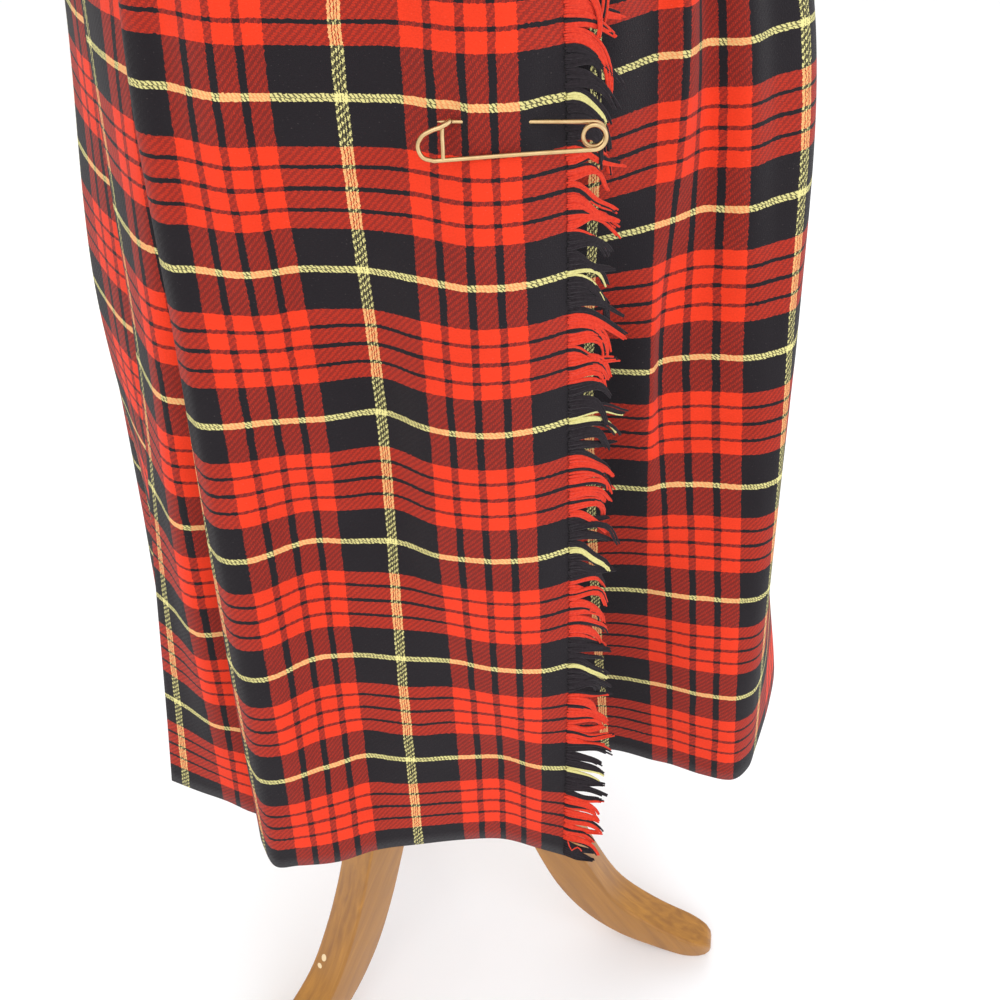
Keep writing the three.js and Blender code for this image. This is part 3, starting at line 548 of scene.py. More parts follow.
class PlanCurve:
    # smooth curve through points, with places on it given by distance
    def __init__(self, points, stepsEach=10):
        self.stepsEach = stepsEach
        knots = [points[0] * 2 - points[1], *points, points[-1] * 2 - points[-2]]
        self.line = []
        for k in range(len(points) - 1):
            a, b, c, d = knots[k:k + 4]
            gaps = [max(1e-6, (q - p).length) ** 0.5 for p, q in ((a, b), (b, c), (c, d))]
            leave = (b - a) / gaps[0] - (c - a) / (gaps[0] + gaps[1]) + (c - b) / gaps[1]
            arrive = (c - b) / gaps[1] - (d - b) / (gaps[1] + gaps[2]) + (d - c) / gaps[2]
            leave, arrive = leave * gaps[1], arrive * gaps[1]
            for s in range(stepsEach):
                t = s / stepsEach
                self.line.append(b + leave * t + (3 * (c - b) - 2 * leave - arrive) * t ** 2
                                 + (2 * (b - c) + leave + arrive) * t ** 3)
        self.line.append(points[-1])
        self.reach = [0.0]
        for p, q in zip(self.line, self.line[1:]):
            self.reach.append(self.reach[-1] + (q - p).length)
        self.total = self.reach[-1]

    def at(self, s):
        low, high = 0, len(self.reach) - 1
        while high - low > 1:
            mid = (low + high) // 2
            if self.reach[mid] < s:
                low = mid
            else:
                high = mid
        t = (s - self.reach[low]) / (self.reach[high] - self.reach[low])
        return self.line[low].lerp(self.line[high], t)

    def tangent(self, s):
        return (self.at(min(self.total, s + 3)) - self.at(max(0, s - 3))).normalized()

    def knotAt(self, k):
        return self.reach[k * self.stepsEach]


def clothHeight(h, x):
    fade = clamp((cloth["drop"] - h) / (cloth["drop"] - cloth["hip"]))
    return cloth["hem"] + h + cloth["sideLift"] * fade * min(1.4, (x / cloth["sideReach"]) ** 2)


class Folds:
    # the ring of pleats at one height: each fold's edge, the way back behind it, and its depth
    def __init__(self, h):
        self.curve = PlanCurve([planAt(row, h) for row in ring.values()])
        second, last = self.edge("fold2"), self.edge("rightSide")
        edges = [self.edge("fold1"), second]
        edges += [lerp(second, last, (k + 1) / pleats["backPleats"]) for k in range(pleats["backPleats"])]
        deep = between(pleats["depth"], h)
        self.folds = []
        for k, edge in enumerate(edges):
            wide = edges[k + 1] - edge if k < len(edges) - 1 else edge - edges[k - 1]
            back = pleats["leastBack"]
            while math.hypot(back, deep) + math.hypot(back + wide, deep) < check["across"]:
                back += pleats["backStep"]
            self.folds.append({"edge": edge, "back": back, "deep": deep})

    def edge(self, name):
        return self.curve.knotAt(ringKnot[name])

    def off(self, s, d):
        p, t = self.curve.at(s), self.curve.tangent(s)
        return Vector((p.x - t.y * d, p.y + t.x * d))


halfTurn = [math.pi * i / 6 for i in range(7)]  # a pressed fold's half turn


def roundEdge(f, fold):
    r = cloth["foldRadius"]
    return [f.off(fold["edge"] + r * math.sin(a), r * math.cos(a) - r) for a in halfTurn]


def roundHollow(f, fold):
    r = cloth["foldRadius"]
    inner = fold["edge"] - fold["back"]
    return [f.off(inner - r * math.sin(a), r * math.cos(a) - fold["deep"]) for a in halfTurn]


def lay(f, start, end, parts):
    return [f.off(lerp(start[0], end[0], t), lerp(start[1], end[1], t)) for t in parts]


def wayBack(f, fold, parts):
    r = cloth["foldRadius"]
    return lay(f, (fold["edge"], -2 * r), (fold["edge"] - fold["back"], r - fold["deep"]), parts)


def seamShare(fold, gap):
    # share of the last way back at which the pleats are sewn to the under-apron
    return pleats["sewnAt"] + gap / math.hypot(fold["back"], fold["deep"] - 3 * cloth["foldRadius"])


def firstTurn(h):
    centre = planAt(hollow1, h)
    t = (planAt(panel1["near"], h) - centre).normalized()
    return lambda s, d: Vector((centre.x + t.x * s - t.y * d, centre.y + t.y * s + t.x * d))


def overApronPath(h, stepsEach=8):
    # from the fringe to the folded edge, round it and in to the first hollow
    turn = firstTurn(h)
    r = cloth["foldRadius"]
    hollow = [turn(-r * math.sin(a), r * math.cos(a)) for a in halfTurn]
    face = PlanCurve([planAt(row[1:], h) for row in apronStations.values()] + [hollow[0]], stepsEach)
    marks = {k * stepsEach: row[0] for k, row in enumerate(apronStations.values()) if row[0]}
    return [*face.line, *hollow[1:], turn(pleats["seamAt"], -r)], marks


def pleatPath(h, stepsEach=6):
    # from the first hollow through every pleat to the seam behind the last edge
    f = Folds(h)
    r = cloth["foldRadius"]
    turn = firstTurn(h)
    points = [turn(pleats["leaveAt"], -r), *(planAt(row, h) for row in panel1.values())]
    points.append(f.off(f.folds[0]["edge"], 0))
    path = [turn(pleats["seamAt"] + cloth["seamGap"], -r), *PlanCurve(points, stepsEach).line[:-1]]
    marks = {}
    for k, fold in enumerate(f.folds):
        marks[len(path)] = lerp(-1.10, -1.05, h / cloth["drop"]) if k == 0 else -0.98 - k
        path += roundEdge(f, fold)
        if k == len(f.folds) - 1:
            path += wayBack(f, fold, [0.2, 0.4, 0.6, seamShare(fold, -cloth["seamGap"])])
            break
        path += wayBack(f, fold, [0.2, 0.4, 0.6, 0.8])
        path += roundHollow(f, fold)
        parts = [(i + 1) / 12 for i in range(11)]
        path += lay(f, (fold["edge"] - fold["back"], -fold["deep"] - r), (f.folds[k + 1]["edge"], 0), parts)
    return path, marks


def underApronPath(h, stepsEach=8):
    # from that seam round the last hollow and across the front to its end
    f = Folds(h)
    fold = f.folds[-1]
    path = [*wayBack(f, fold, [seamShare(fold, cloth["seamGap"])]), *roundHollow(f, fold)]
    face = PlanCurve([path[-1], *(planAt(row[1:], h) for row in underStations.values())], stepsEach)
    start = len(path) - 1
    marks = {}
    for k, (name, row) in enumerate(underStations.items()):
        if row[0] is not None:
            drift = 0.05 * h / cloth["drop"] if name == "atFringe" else 0  # the check runs a little askew here
            marks[start + (k + 1) * stepsEach] = row[0] + drift
    return path + face.line[1:], marks


def checkAcross(path, marks):
    # where each point of a path lies in the check, by its distance from the marked places
    reach = [0.0]
    for p, q in zip(path, path[1:]):
        reach.append(reach[-1] + (q - p).length)
    places = sorted(marks)
    found = []
    for i, s in enumerate(reach):
        before = [k for k in places if k <= i]
        after = [k for k in places if k > i]
        if before and after:
            a, b = before[-1], after[0]
            found.append(lerp(marks[a], marks[b], (s - reach[a]) / (reach[b] - reach[a])))
        else:
            k = before[-1] if before else after[0]
            found.append(marks[k] + (reach[k] - s) / check["across"])
    return found


def sideways(path, i):
    a, b = path[max(0, i - 1)], path[min(len(path) - 1, i + 1)]
    t = (b - a).normalized()
    return Vector((-t.y, t.x))


def gridPiece(name, rows, material, uvName):
    # one grid laid over rows of (point, uv) pairs, its map kept as a UV map
    wide, tall = len(rows[0]) - 1, len(rows) - 1
    bm = bmesh.new()
    bmesh.ops.create_grid(bm, x_segments=wide, y_segments=tall, size=1)
    uv = bm.loops.layers.uv.new(uvName)
    cell = {v: (round((v.co.x + 1) / 2 * wide), round((v.co.y + 1) / 2 * tall)) for v in bm.verts}
    for vert, (i, j) in cell.items():
        vert.co = rows[j][i][0]
    for face in bm.faces:
        for loop in face.loops:
            i, j = cell[loop.vert]
            loop[uv].uv = rows[j][i][1]
    bm.normal_update()
    return newPiece(name, bm, material)


# soft troughs (below 0) and ridges: where in the check, how wide and deep in mm, and
# between which heights above the hem
creases = {
    "overApronCloth": [
        {"at": 0.74, "wide": 14, "deep": -4.5, "low": 275, "high": 400},
        {"at": 0.62, "wide": 16, "deep": -3.5, "low": 130, "high": 265},
        {"at": 1.50, "wide": 15, "deep": -4.0, "low": -10, "high": 125},
        {"at": 1.26, "wide": 12, "deep": 2.0, "low": 140, "high": 260},
        {"at": 0.74, "wide": 12, "deep": -2.5, "low": 10, "high": 120},
        {"at": 1.455, "wide": 5, "deep": -3.4, "low": 374, "high": 430},
        {"at": 1.83, "wide": 4, "deep": -1.6, "low": 380, "high": 428},
        {"at": 0.10, "wide": 9, "deep": 1.2, "low": 300, "high": 520},
        {"at": 1.08, "wide": 10, "deep": 1.4, "low": 40, "high": 150},
    ],
    "pleatedBackCloth": [
        {"at": -0.72, "wide": 16, "deep": 1.6, "low": 30, "high": 330},
        {"at": -0.45, "wide": 12, "deep": -1.4, "low": -20, "high": 210},
        {"at": -1.45, "wide": 14, "deep": 1.5, "low": 60, "high": 400},
        {"at": -3.5, "wide": 18, "deep": 2.0, "low": -30, "high": 300},
        {"at": -5.4, "wide": 14, "deep": -1.8, "low": 80, "high": 350},
        {"at": -7.5, "wide": 20, "deep": 2.2, "low": -40, "high": 240},
        {"at": -9.45, "wide": 15, "deep": -1.7, "low": 10, "high": 380},
        {"at": -11.5, "wide": 18, "deep": 1.8, "low": 20, "high": 260},
    ],
    "underApronCloth": [
        {"at": 0.50, "wide": 14, "deep": 1.4, "low": 30, "high": 190},
        {"at": 0.20, "wide": 10, "deep": -1.5, "low": 90, "high": 300},
        {"at": 0.80, "wide": 12, "deep": 1.2, "low": 150, "high": 390},
        {"at": 1.45, "wide": 18, "deep": -1.8, "low": -20, "high": 320},
    ],
}


def creaseLift(name, along, h):
    lift = cloth["drift"] * noise.noise(Vector((along * 2.2, h / 110, len(name))))
    for crease in creases[name]:
        off = (along - crease["at"]) * check["across"] / crease["wide"]
        lift += crease["deep"] * math.exp(-off * off) * swell((h - crease["low"]) / (crease["high"] - crease["low"]))
    return lift


def clothSheet(name, pathOf, replaced):
    # a wall hung row by row along the plan paths, with the check in its UV map
    top = cloth["drop"] - cloth["seamGap"]
    rows = []
    lengths = []
    for j in range(cloth["rows"] + 1):
        h = top * j / cloth["rows"]
        path, marks = pathOf(h)
        along = checkAcross(path, marks)
        up = (cloth["hem"] + h - check["lineHeight"]) / check["up"]
        row = []
        for i, p in enumerate(path):
            q = p + sideways(path, i) * creaseLift(name, along[i], h)
            row.append((place(q.x, q.y, clothHeight(h, p.x)), (along[i], up)))
        rows.append(row)
        lengths.append(sum((q - p).length for p, q in zip(path, path[1:])))
    piece = gridPiece(name, rows, tartan, "check")
    wall = piece.modifiers.new("wall", "SOLIDIFY")
    wall.thickness = cloth["wall"] / 1000
    wall.offset = 0
    print(name, "widths", round(lengths[0]), round(sum(lengths) / len(lengths)), round(max(lengths)))
    return finish(piece, [replaced])


overApron = clothSheet("overApronCloth", overApronPath, "over_apron")
pleatedBack = clothSheet("pleatedBackCloth", pleatPath, "pleated_back")
underApron = clothSheet("underApronCloth", underApronPath, "under_apron")
print("skirt panels are hung")


bandSet = {
    "height": 40, "wall": 3, "steps": 260, "rows": 6, "rim": 0.9, "checkAt": 1.9,
    "faceStations": 9,              # stations of the over-apron that the band follows
    "inset": 10, "behind": 1.2,     # mm in from the ring's ends, and in from its line
    "backSteps": 34, "underSteps": (3, 26),
}
stitchSet = {"long": 2.4, "pitch": 3.4, "thick": 0.42, "fromRim": 3.2, "fromEnd": 3.0, "proud": 0.1}


def bandCurve():
    drop = cloth["drop"]
    f = Folds(drop)
    apron = [planAt(row[1:], drop) for row in list(apronStations.values())[:bandSet["faceStations"]]]
    start, last = f.edge("apron") + bandSet["inset"], f.edge("rightSide") - bandSet["inset"]
    parts = [(i + 1) / bandSet["backSteps"] for i in range(bandSet["backSteps"])]
    back = lay(f, (start, -bandSet["behind"]), (last, -bandSet["behind"]), parts)
    hollow = roundHollow(f, f.folds[-1])
    under = PlanCurve([hollow[-1], *(planAt(row[1:], drop) for row in underStations.values())], 2)
    first, end = bandSet["underSteps"]
    return PlanCurve([*apron, *back, *under.line[first:end:2]], 3)


bandLine = bandCurve()
bandLow = cloth["hem"] + cloth["drop"]
rows = []
for j in range(bandSet["rows"] + 1):
    z = bandLow + bandSet["height"] * j / bandSet["rows"]
    row = []
    for i in range(bandSet["steps"] + 1):
        s = bandLine.total * i / bandSet["steps"]
        p = bandLine.at(s)
        along = bandSet["checkAt"] - s / check["across"]
        row.append((place(p.x, p.y, z), (along, (z - check["lineHeight"]) / check["up"])))
    rows.append(row)
band = gridPiece("waistbandCloth", rows, tartan, "check")
bandWall = band.modifiers.new("wall", "SOLIDIFY")
bandWall.thickness = bandSet["wall"] / 1000
bandWall.offset = 0
bandRim = band.modifiers.new("rim", "BEVEL")
bandRim.width = bandSet["rim"] / 1000
bandRim.segments = 2
bandRim.limit_method = "ANGLE"
bandRim.angle_limit = math.radians(60)
finish(band, ["waistband"])
print("band length", round(bandLine.total))

bm = bmesh.new()
for height in (stitchSet["fromRim"], bandSet["height"] - stitchSet["fromRim"]):
    s = stitchSet["fromEnd"]
    while s < bandLine.total - stitchSet["fromEnd"]:
        p, t = bandLine.at(s), bandLine.tangent(s)
        out = Vector((-t.y, t.x)) * (bandSet["wall"] / 2 + stitchSet["proud"])
        turn = Matrix.Translation(place(p.x + out.x, p.y + out.y, bandLow + height))
        turn = turn @ Vector((t.x, t.y, 0)).to_track_quat("X", "Z").to_matrix().to_4x4()
        size = (stitchSet["long"] / 2000, stitchSet["thick"] / 1000, stitchSet["thick"] / 1000, 1)
        bmesh.ops.create_uvsphere(bm, u_segments=6, v_segments=4, radius=1, matrix=turn @ Matrix.Diagonal(size))
        s += stitchSet["pitch"]
stitches = finish(newPiece("waistbandStitches", bm, yarnLooks["black"]))

buttonSet = {
    "fromEnd": 16, "clear": 0.4, "holeOff": 1.9, "threadAt": 1.95, "threadShifts": (-0.35, 0.0, 0.35),
    "profile": [(0, 0), (7.8, 0), (8.7, 0.5), (9, 1.4), (8.8, 2.4), (8.1, 3), (7.2, 2.9), (6.4, 2.2), (5.4, 1.9),
                (0, 1.8)],  # radius and distance out, in mm
}


def turnedPiece(name, profile, centre, material, replaced=(), direction=Vector((0, 0, 1)), segments=64):
    # a body turned round the direction: its profile is radius and distance along it, in mm
    bm = bmesh.new()
    verts = [bm.verts.new((r / 1000, 0, d / 1000)) for r, d in profile]
    edges = [bm.edges.new(pair) for pair in zip(verts, verts[1:])]
    bmesh.ops.spin(bm, geom=verts + edges, cent=(0, 0, 0), axis=(0, 0, 1), angle=2 * math.pi,
                   steps=segments, use_merge=True, use_duplicate=False)
    bmesh.ops.remove_doubles(bm, verts=bm.verts, dist=0.00001)
    bmesh.ops.recalc_face_normals(bm, faces=bm.faces)
    turn = Matrix.Translation(centre) @ direction.to_track_quat("Z", "Y").to_matrix().to_4x4()
    bmesh.ops.transform(bm, matrix=turn, verts=bm.verts)
    return finish(newPiece(name, bm, material), replaced)


p, t = bandLine.at(buttonSet["fromEnd"]), bandLine.tangent(buttonSet["fromEnd"])
buttonOut = Vector((-t.y, t.x, 0)).normalized()
buttonFoot = place(p.x, p.y, bandLow + bandSet["height"] / 2)
buttonFoot += buttonOut * (bandSet["wall"] / 2 + buttonSet["clear"]) / 1000
button = turnedPiece("waistButton", buttonSet["profile"], buttonFoot, horn, ["waist_button"], buttonOut)

buttonSide = Vector((0, 0, 1)).cross(buttonOut).normalized()
bm = bmesh.new()
for sideSign, upSign in ((1, 1), (-1, 1)):
    # two crossed lays of sewing thread over the button's face, ends let into it
    run = (buttonSide * sideSign + Vector((0, 0, upSign))) * buttonSet["holeOff"] / 1000
    for shift in buttonSet["threadShifts"]:
        slide = Vector((0, 0, 1)) * shift / 1000 - buttonSide * sideSign * shift / 1000
        centre = buttonFoot + buttonOut * buttonSet["threadAt"] / 1000 + slide
        turn = Matrix.Translation(centre) @ run.to_track_quat("X", "Z").to_matrix().to_4x4()
        size = (run.length * 1.25, 0.00026, 0.00045, 1)
        bmesh.ops.create_uvsphere(bm, u_segments=8, v_segments=6, radius=1, matrix=turn @ Matrix.Diagonal(size))
thread = finish(newPiece("buttonThread", bm, yarnLooks["black"]))
print("waistband is sewn")


fringeSet = {
    "yarns": 640, "radius": 0.68, "longHem": 20, "longTop": 27, "clump": 6, "rooted": 2.2, "face": 0.9,
    "sag": (0.15, 0.9), "upperSag": (0.7, 1.5), "heavySag": (1.3, 2.0), "upperFrom": 95, "seed": 23, "steps": 9,
    "clumpSpread": 1.3, "longSpread": (0.8, 1.1), "gather": (0.55, 0.85), "curl": (-0.9, 0.5),
    "wave": (-0.45, 0.45), "bend": (-1.2, 2.4), "tipAt": (0.3, 0.7), "yarnSpread": (0.88, 1.06),
    "own": (-0.5, 0.5), "rootSpread": (0.7, 1.2), "longerTo": 200, "thinning": 0.35,
}
# a clump of yarns now and then hangs down more heavily than its neighbours
heavySet = {"share": 0.3, "longer": 1.12, "gather": 0.35, "bend": 1.4}


def tubePiece(name, runs, materials, radius, resolution=1):
    # joined tubes: each run is its points, its radii in mm and its material's number
    curve = bpy.data.curves.new(name, "CURVE")
    curve.dimensions = "3D"
    curve.bevel_depth = radius / 1000
    curve.bevel_resolution = resolution
    curve.use_fill_caps = True
    for material in materials:
        curve.materials.append(material)
    for points, radii, look in runs:
        spline = curve.splines.new("POLY")
        spline.points.add(len(points) - 1)
        for knot, p, r in zip(spline.points, points, radii):
            knot.co = (*p, 1)
            knot.radius = r / radius
        spline.material_index = look
        spline.use_smooth = True
    source = bpy.data.objects.new(name + "Curve", curve)
    bpy.context.collection.objects.link(source)
    bpy.context.view_layer.update()
    mesh = bpy.data.meshes.new_from_object(source.evaluated_get(bpy.context.evaluated_depsgraph_get()))
    mesh.name = name
    bpy.data.objects.remove(source)
    piece = bpy.data.objects.new(name, mesh)
    bpy.context.collection.objects.link(piece)
    return piece


def weftYarnAt(v):
    name = "black"
    for start, yarn in weftRuns():
        if start <= v % 1:
            name = yarn
    return name


apronEnds = []
for j in range(cloth["rows"] + 1):
    h = (cloth["drop"] - cloth["seamGap"]) * j / cloth["rows"]
    path, _ = overApronPath(h)
    apronEnds.append((path[0], (path[0] - path[3]).normalized()))


def fringeYarns():
    draw = random.Random(fringeSet["seed"])
    lookOf = {"black": 0, "red": 1, "yellow": 2}
    runs = []
    h = 0.6
    while h < cloth["drop"] - 2:
        # one clump of neighbouring yarns, whose tips come together
        pitch = (cloth["drop"] - 3) / fringeSet["yarns"]
        count = max(2, round(draw.gauss(fringeSet["clump"], fringeSet["clumpSpread"])))
        low, high = h, min(cloth["drop"] - 2, h + count * pitch)
        upper = low > fringeSet["upperFrom"]
        heavy = upper and draw.random() < heavySet["share"]
        sag = draw.uniform(*fringeSet["heavySag" if heavy else "upperSag" if upper else "sag"])
        longShare = draw.uniform(*fringeSet["longSpread"]) * (heavySet["longer"] if heavy else 1)
        gather = heavySet["gather"] if heavy else draw.uniform(*fringeSet["gather"])
        curl = draw.uniform(*fringeSet["curl"])
        wave = draw.uniform(*fringeSet["wave"])
        bend = draw.uniform(*fringeSet["bend"]) + (heavySet["bend"] if heavy else 0)
        tipAt = lerp(low, high, draw.uniform(*fringeSet["tipAt"]))
        for k in range(count):
            at = lerp(low, high, (k + 0.5) / count)
            row = at / (cloth["drop"] - cloth["seamGap"]) * cloth["rows"]
            j = min(cloth["rows"] - 1, int(row))
            end = apronEnds[j][0].lerp(apronEnds[j + 1][0], row - j)
            out = apronEnds[j][1].lerp(apronEnds[j + 1][1], row - j).normalized()
            front = Vector((out.y, -out.x))
            long = lerp(fringeSet["longHem"], fringeSet["longTop"], clamp(at / fringeSet["longerTo"])) * longShare
            long *= draw.uniform(*fringeSet["yarnSpread"])
            own = draw.uniform(*fringeSet["own"])
            stride = (long + fringeSet["rooted"]) / fringeSet["steps"]
            reach, z = -fringeSet["rooted"] * draw.uniform(*fringeSet["rootSpread"]), at
            points, radii = [], []
            for step in range(fringeSet["steps"] + 1):
                # each yarn is paid out in strides that turn down as it hangs, its tip drawn to its clump's
                free = step / fringeSet["steps"]
                lift = fringeSet["face"] + own * 0.3 + bend * free ** 1.5 + 0.5 * math.sin(5 * free + own)
                x, y = end.x + out.x * reach + front.x * lift, end.y + out.y * reach + front.y * lift
                height = max(0.4, z + (tipAt - at + own) * free ** 1.3 * gather)
                points.append(place(x, y, clothHeight(height, end.x)))
                radii.append(fringeSet["radius"] * (1.0 if step else 0.55) * (1 - fringeSet["thinning"] * free ** 3))
                slope = sag * free + curl * free ** 3 + wave * math.sin(6 * free)
                reach += stride * math.cos(slope)
                z -= stride * math.sin(slope)
            v = (cloth["hem"] + at - check["lineHeight"]) / check["up"]
            runs.append((points, radii, lookOf[weftYarnAt(v)]))
        h = high
    # a stray end of red yarn, caught in the corner of the hem
    stray = [(80.5, -150.6, 313), (81.4, -151.4, 309.5), (83, -151.6, 305.5), (84.4, -152, 308), (86, -152.2, 309.5),
             (87.6, -152, 307.5), (88.6, -151.4, 304.5)]
    runs.append(([place(*p) for p in stray], [0.4] * len(stray), 1))
    return runs


looksInOrder = [yarnLooks["black"], yarnLooks["red"], yarnLooks["yellow"]]
fringe = tubePiece("fringeYarns", fringeYarns(), looksInOrder, fringeSet["radius"])
finish(fringe, ["fringe"])
print("fringe is drawn out")


pinSet = {
    "wire": 0.86, "needle": 0.72, "armY": -110.7, "needleY": -105.4, "needleZ": 696, "pointX": 19.5,
    "coilX": 76, "coilRadius": 4.1, "coilSteps": 54, "armDrop": 4.2, "needleVia": (62, 40), "tip": (0.62, 0.42, 0.2),
}
# bends of the clasp: across, distance in front of the pole, height, in mm
claspBends = [
    (21.4, 110.7, 684.3), (21.4, 110.4, 689), (21.3, 109.6, 692.6), (21.6, 109, 695.6), (22.8, 109, 696.6),
    (24.2, 109.5, 697.4), (23.6, 110.2, 697), (21, 110.9, 695.8), (17.6, 111, 694.6), (14.2, 110.9, 692.6),
    (12.4, 110.7, 689), (14, 110.7, 685), (18, 110.7, 683.7),
]


def pinRun():
    r = pinSet["coilRadius"]
    armZ = pinSet["needleZ"] - 2 * r
    clasp = PlanCurve([Vector((x, -front, z)) for x, front, z in claspBends], 7).line
    armX = lerp(claspBends[-1][0], pinSet["coilX"], 0.5)
    arm = [Vector((armX, pinSet["armY"], armZ - pinSet["armDrop"] * 0.44))]
    coil = []
    for i in range(pinSet["coilSteps"] + 1):
        a = -math.pi / 2 + 3 * math.pi * i / pinSet["coilSteps"]
        y = lerp(pinSet["armY"], pinSet["needleY"], i / pinSet["coilSteps"])
        coil.append(Vector((pinSet["coilX"] + r * math.cos(a), y, pinSet["needleZ"] - r + r * math.sin(a))))
    bow = PlanCurve([clasp[-1], *arm, coil[0]], 8).line[1:-1]
    needleXs = [*pinSet["needleVia"], *(pinSet["pointX"] + d for d in (9, 4, 1, 0))]
    needle = [Vector((x, pinSet["needleY"], pinSet["needleZ"])) for x in needleXs]
    points = [*clasp, *bow, *coil, *needle]
    radii = [pinSet["wire"]] * (len(clasp) + len(bow) + len(coil)) + [pinSet["needle"]] * 3 + [*pinSet["tip"]]
    return [place(*p) for p in points], radii, 0


pin = tubePiece("kiltPinWire", [pinRun()], [wire], pinSet["wire"], 6)
finish(pin, ["kilt_pin"])
print("kilt pin is bent")


formRings = [  # height, half width, half depth, centre across and back
    (600, 139, 94, 11, 33), (640, 143, 98, 12, 34), (690, 145, 100, 12, 34), (740, 139, 97, 9, 30),
    (790, 127, 91, 4, 22), (835, 117, 86, 1, 15), (848, 115, 90, -1, 13), (858, 121, 98.6, -2, 12),
    (884, 121, 98.6, -2, 12), (925, 121, 95, 0, 8), (990, 130, 100, 0, 3), (1060, 139, 106, 0, -3),
    (1130, 143, 101, 0, 0), (1190, 149, 88, 0, 7), (1235, 159, 75, 0, 12), (1268, 160, 62, 0, 15),
    (1292, 138, 54, 0, 17), (1310, 100, 51, 0, 17), (1324, 70, 51, 0, 15), (1342, 57, 51, 0, 12),
    (1380, 52, 48, 0, 6),
]
formSet = {
    "around": 96, "step": 6, "inside": 0.996, "seam": 0.9,
    "seamRows": ((1, 40), (50, -1)),    # the waistband presses the seam flat between the two runs
}


def formValue(column, z):
    # smooth value between the rings, which never swings past them
    k = 0
    while k < len(formRings) - 2 and z > formRings[k + 1][0]:
        k += 1

    def chord(j):
        return (formRings[j + 1][column] - formRings[j][column]) / (formRings[j + 1][0] - formRings[j][0])

    def slope(j):
        if j == 0 or j == len(formRings) - 1:
            return 0.0
        a, b = chord(j - 1), chord(j)
        return 0.0 if a * b <= 0 else 2 * a * b / (a + b)

    low, high = formRings[k], formRings[k + 1]
    span = high[0] - low[0]
    t = clamp((z - low[0]) / span)
    ends = low[column] * (2 * t ** 3 - 3 * t ** 2 + 1) + high[column] * (3 * t ** 2 - 2 * t ** 3)
    return ends + span * (slope(k) * (t ** 3 - 2 * t ** 2 + t) + slope(k + 1) * (t ** 3 - t ** 2))


def formPoint(angle, z, out=0.0):
    wide, deep = formValue(1, z) * formSet["inside"] + out, formValue(2, z) * formSet["inside"] + out
    return place(formValue(3, z) + wide * math.cos(angle), formValue(4, z) + deep * math.sin(angle), z)


formLow, formHigh = formRings[0][0], formRings[-1][0]
heights = list(range(formLow, formHigh + 1, formSet["step"]))
rows = [[(formPoint(2 * math.pi * i / formSet["around"], z), (i / formSet["around"], z / 1000))
         for i in range(formSet["around"] + 1)] for z in heights]
formBody = gridPiece("formBody", rows, jersey, "cover")
bm = bmesh.new()
bm.from_mesh(formBody.data)
bmesh.ops.remove_doubles(bm, verts=bm.verts, dist=0.00002)
bmesh.ops.holes_fill(bm, edges=[e for e in bm.edges if e.is_boundary], sides=0)
bmesh.ops.recalc_face_normals(bm, faces=bm.faces)
bm.to_mesh(formBody.data)
bm.free()
formBody.data.polygons.foreach_set("use_smooth", [True] * len(formBody.data.polygons))
finish(formBody, ["form_body"])

seams = []
for angle in (0, 90, 180, 270):
    for first, end in formSet["seamRows"]:
        points = [formPoint(math.radians(angle), z, 0.1) for z in heights[first:end]]
        seams.append((points, [formSet["seam"]] * len(points), 0))
formSeams = tubePiece("formSeams", seams, [jersey], formSet["seam"], 2)
finish(formSeams)

# turned profiles: radius and height, in mm
neckProfile = [
    (0, 0.3), (45.4, 0.3), (46.6, 0.8), (47.8, 2.4), (48, 4), (48, 8.6), (47.2, 10.4), (44.4, 12.6), (42, 13.2),
    (20, 14.2), (14, 15), (10.6, 17), (9, 20), (9, 23), (10.4, 26.4), (14, 30), (16.2, 34), (17.1, 38.5),
    (16.8, 43), (14.8, 47.6), (11.6, 51), (7.4, 53.2), (3, 53.9), (0, 54),
]
hubProfile = [
    (0, 214), (7, 214.1), (11, 215.2), (14, 218), (16.2, 222), (17, 226), (16, 230.6), (13.6, 233.4), (14.6, 235),
    (20.6, 236), (22, 237.6), (22, 334), (21.4, 338), (19.4, 343), (17.4, 347.5), (15.8, 351), (14.6, 352),
    (0, 352),
]
poleProfile = [(0, 352.3), (12, 352.3), (12.5, 352.8), (12.5, 599.2), (12, 599.7), (0, 599.7)]
neckCap = turnedPiece("neckCap", neckProfile, place(*formRings[-1][3:], formHigh), wood, ["neck_cap"])
hub = turnedPiece("hubTurned", hubProfile, place(0, 0, 0), wood, ["hub"])
pole = turnedPiece("poleTube", poleProfile, place(0, 0, 0), steel, ["pole"])

legSet = {
    "wide": 28, "edge": 2.6, "toeFrom": 202, "reach": 226, "toeRound": 0.8, "flatRim": 0.6,
    "angles": (-12.9, -131, 108), "offsets": (0, boardOffset, -boardOffset),
}
# a leg's outline: distance out from the pole's axis and height, in mm
legTop = [
    (22.4, 336), (40, 318), (58, 282), (76, 232), (92, 178), (106, 134), (123, 94), (145, 58), (176, 35), (205, 22),
    (221, 16),
]
legUnder = [
    (217, 0), (209, 0), (200, 0.2), (176, 5), (150, 13), (122, 32), (98, 62), (78, 104), (60, 156), (44, 205),
    (32, 240), (22.4, 258),
]
legToe = [(224.6, 12.5), (226, 7.5), (225.6, 3), (222.5, 0.2)]


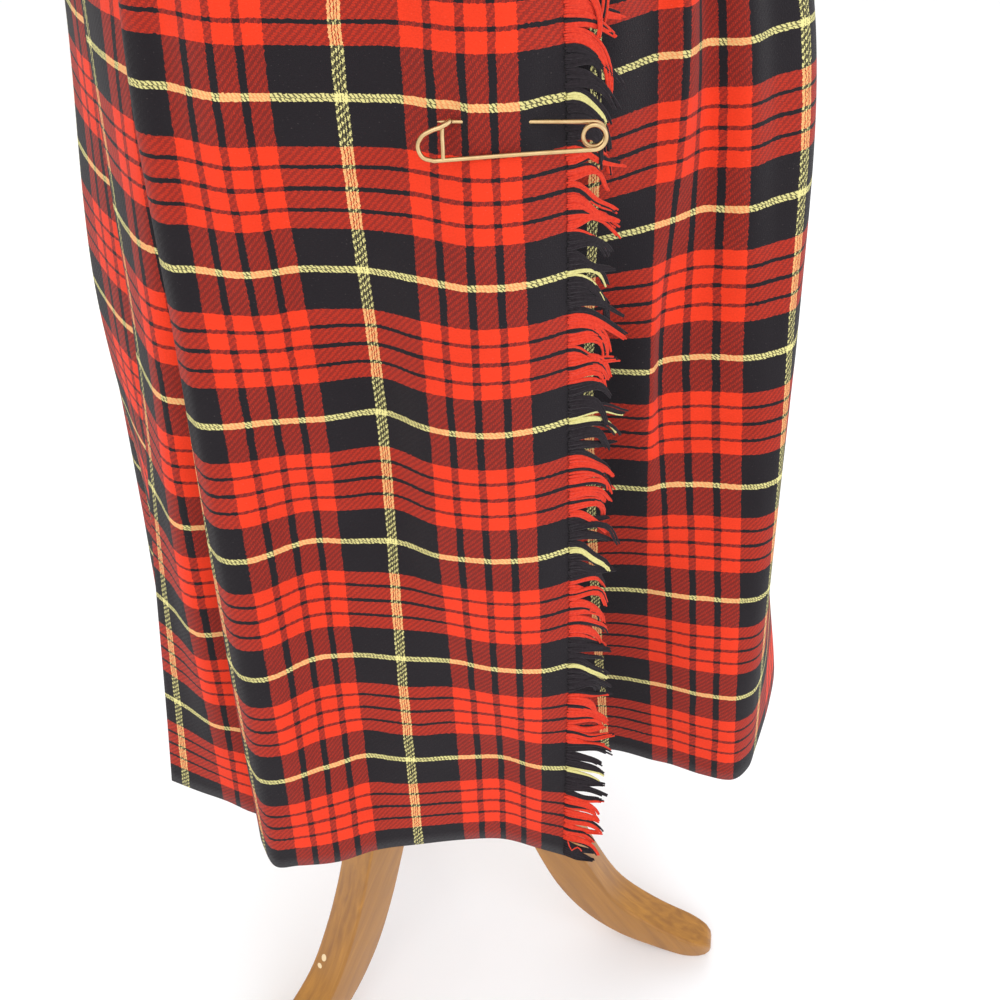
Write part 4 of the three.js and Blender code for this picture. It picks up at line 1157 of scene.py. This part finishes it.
def legPiece(name, angle, offset, replaced):
    outline = PlanCurve([Vector(p) for p in legTop], 5).line + [Vector(p) for p in legToe]
    outline += PlanCurve([Vector(p) for p in legUnder], 5).line
    bm = bmesh.new()
    half = legSet["wide"] / 2
    face = bm.faces.new([bm.verts.new((p.x, -half, max(0.0, p.y))) for p in outline])
    grown = bmesh.ops.extrude_face_region(bm, geom=[face])
    far = [g for g in grown["geom"] if isinstance(g, bmesh.types.BMVert)]
    bmesh.ops.translate(bm, vec=(0, 2 * half, 0), verts=far)
    bmesh.ops.recalc_face_normals(bm, faces=bm.faces)
    rims = [e for e in bm.edges if abs(e.verts[0].co.y - e.verts[1].co.y) < 1e-6]
    bmesh.ops.bevel(bm, geom=rims, offset=legSet["edge"], affect="EDGES", segments=4, profile=0.5, material=-1,
                    clamp_overlap=True)
    bmesh.ops.triangulate(bm, faces=[f for f in bm.faces if len(f.verts) > 4])
    onBoard = [value for v in bm.verts for value in (v.co.x, v.co.y + offset, v.co.z)]
    # 1 on the boards' flat sides, where the wood gets a painted shade
    onSide = [1.0 if abs(v.co.y) > half - legSet["flatRim"] else 0.0 for v in bm.verts]
    for v in bm.verts:
        onToe = clamp((v.co.x - legSet["toeFrom"]) / (legSet["reach"] - legSet["toeFrom"]))
        v.co.y *= math.sqrt(1 - legSet["toeRound"] * onToe ** 2)
    turn = Matrix.Rotation(math.radians(angle), 4, "Z")
    for v in bm.verts:
        v.co = place(*(turn @ v.co))
    piece = newPiece(name, bm, wood)
    piece.data.attributes.new("board", "FLOAT_VECTOR", "POINT").data.foreach_set("vector", onBoard)
    piece.data.attributes.new("flatSide", "FLOAT", "POINT").data.foreach_set("value", onSide)
    return finish(piece, [replaced])


for k, (angle, offset) in enumerate(zip(legSet["angles"], legSet["offsets"])):
    legPiece(f"leg{k + 1}", angle, offset, f"leg_{k + 1}")
turnedOffset = 900  # mm sideways in the pattern's space, clear of all three boards
for piece in (neckCap, hub):
    # the turned pieces carry the same board pattern, cut along their length
    turned = [value for v in piece.data.vertices
              for value in (v.co.z * 1000, v.co.x * 1000 + turnedOffset, v.co.y * 1000)]
    piece.data.attributes.new("board", "FLOAT_VECTOR", "POINT").data.foreach_set("vector", turned)
print("form and stand are up")


floor = bpy.data.meshes.new("floor")
bm = bmesh.new()
bmesh.ops.create_grid(bm, x_segments=1, y_segments=1, size=30)
bm.to_mesh(floor)
bm.free()
floorPiece = bpy.data.objects.new("floor", floor)
bpy.context.collection.objects.link(floorPiece)
paper, paperTree, paperSurface = newMaterial("matPaper", Roughness=0.95, Specular_IOR_Level=0.1)
paperSurface.inputs["Base Color"].default_value = colour("#ffffff")
floor.materials.append(paper)
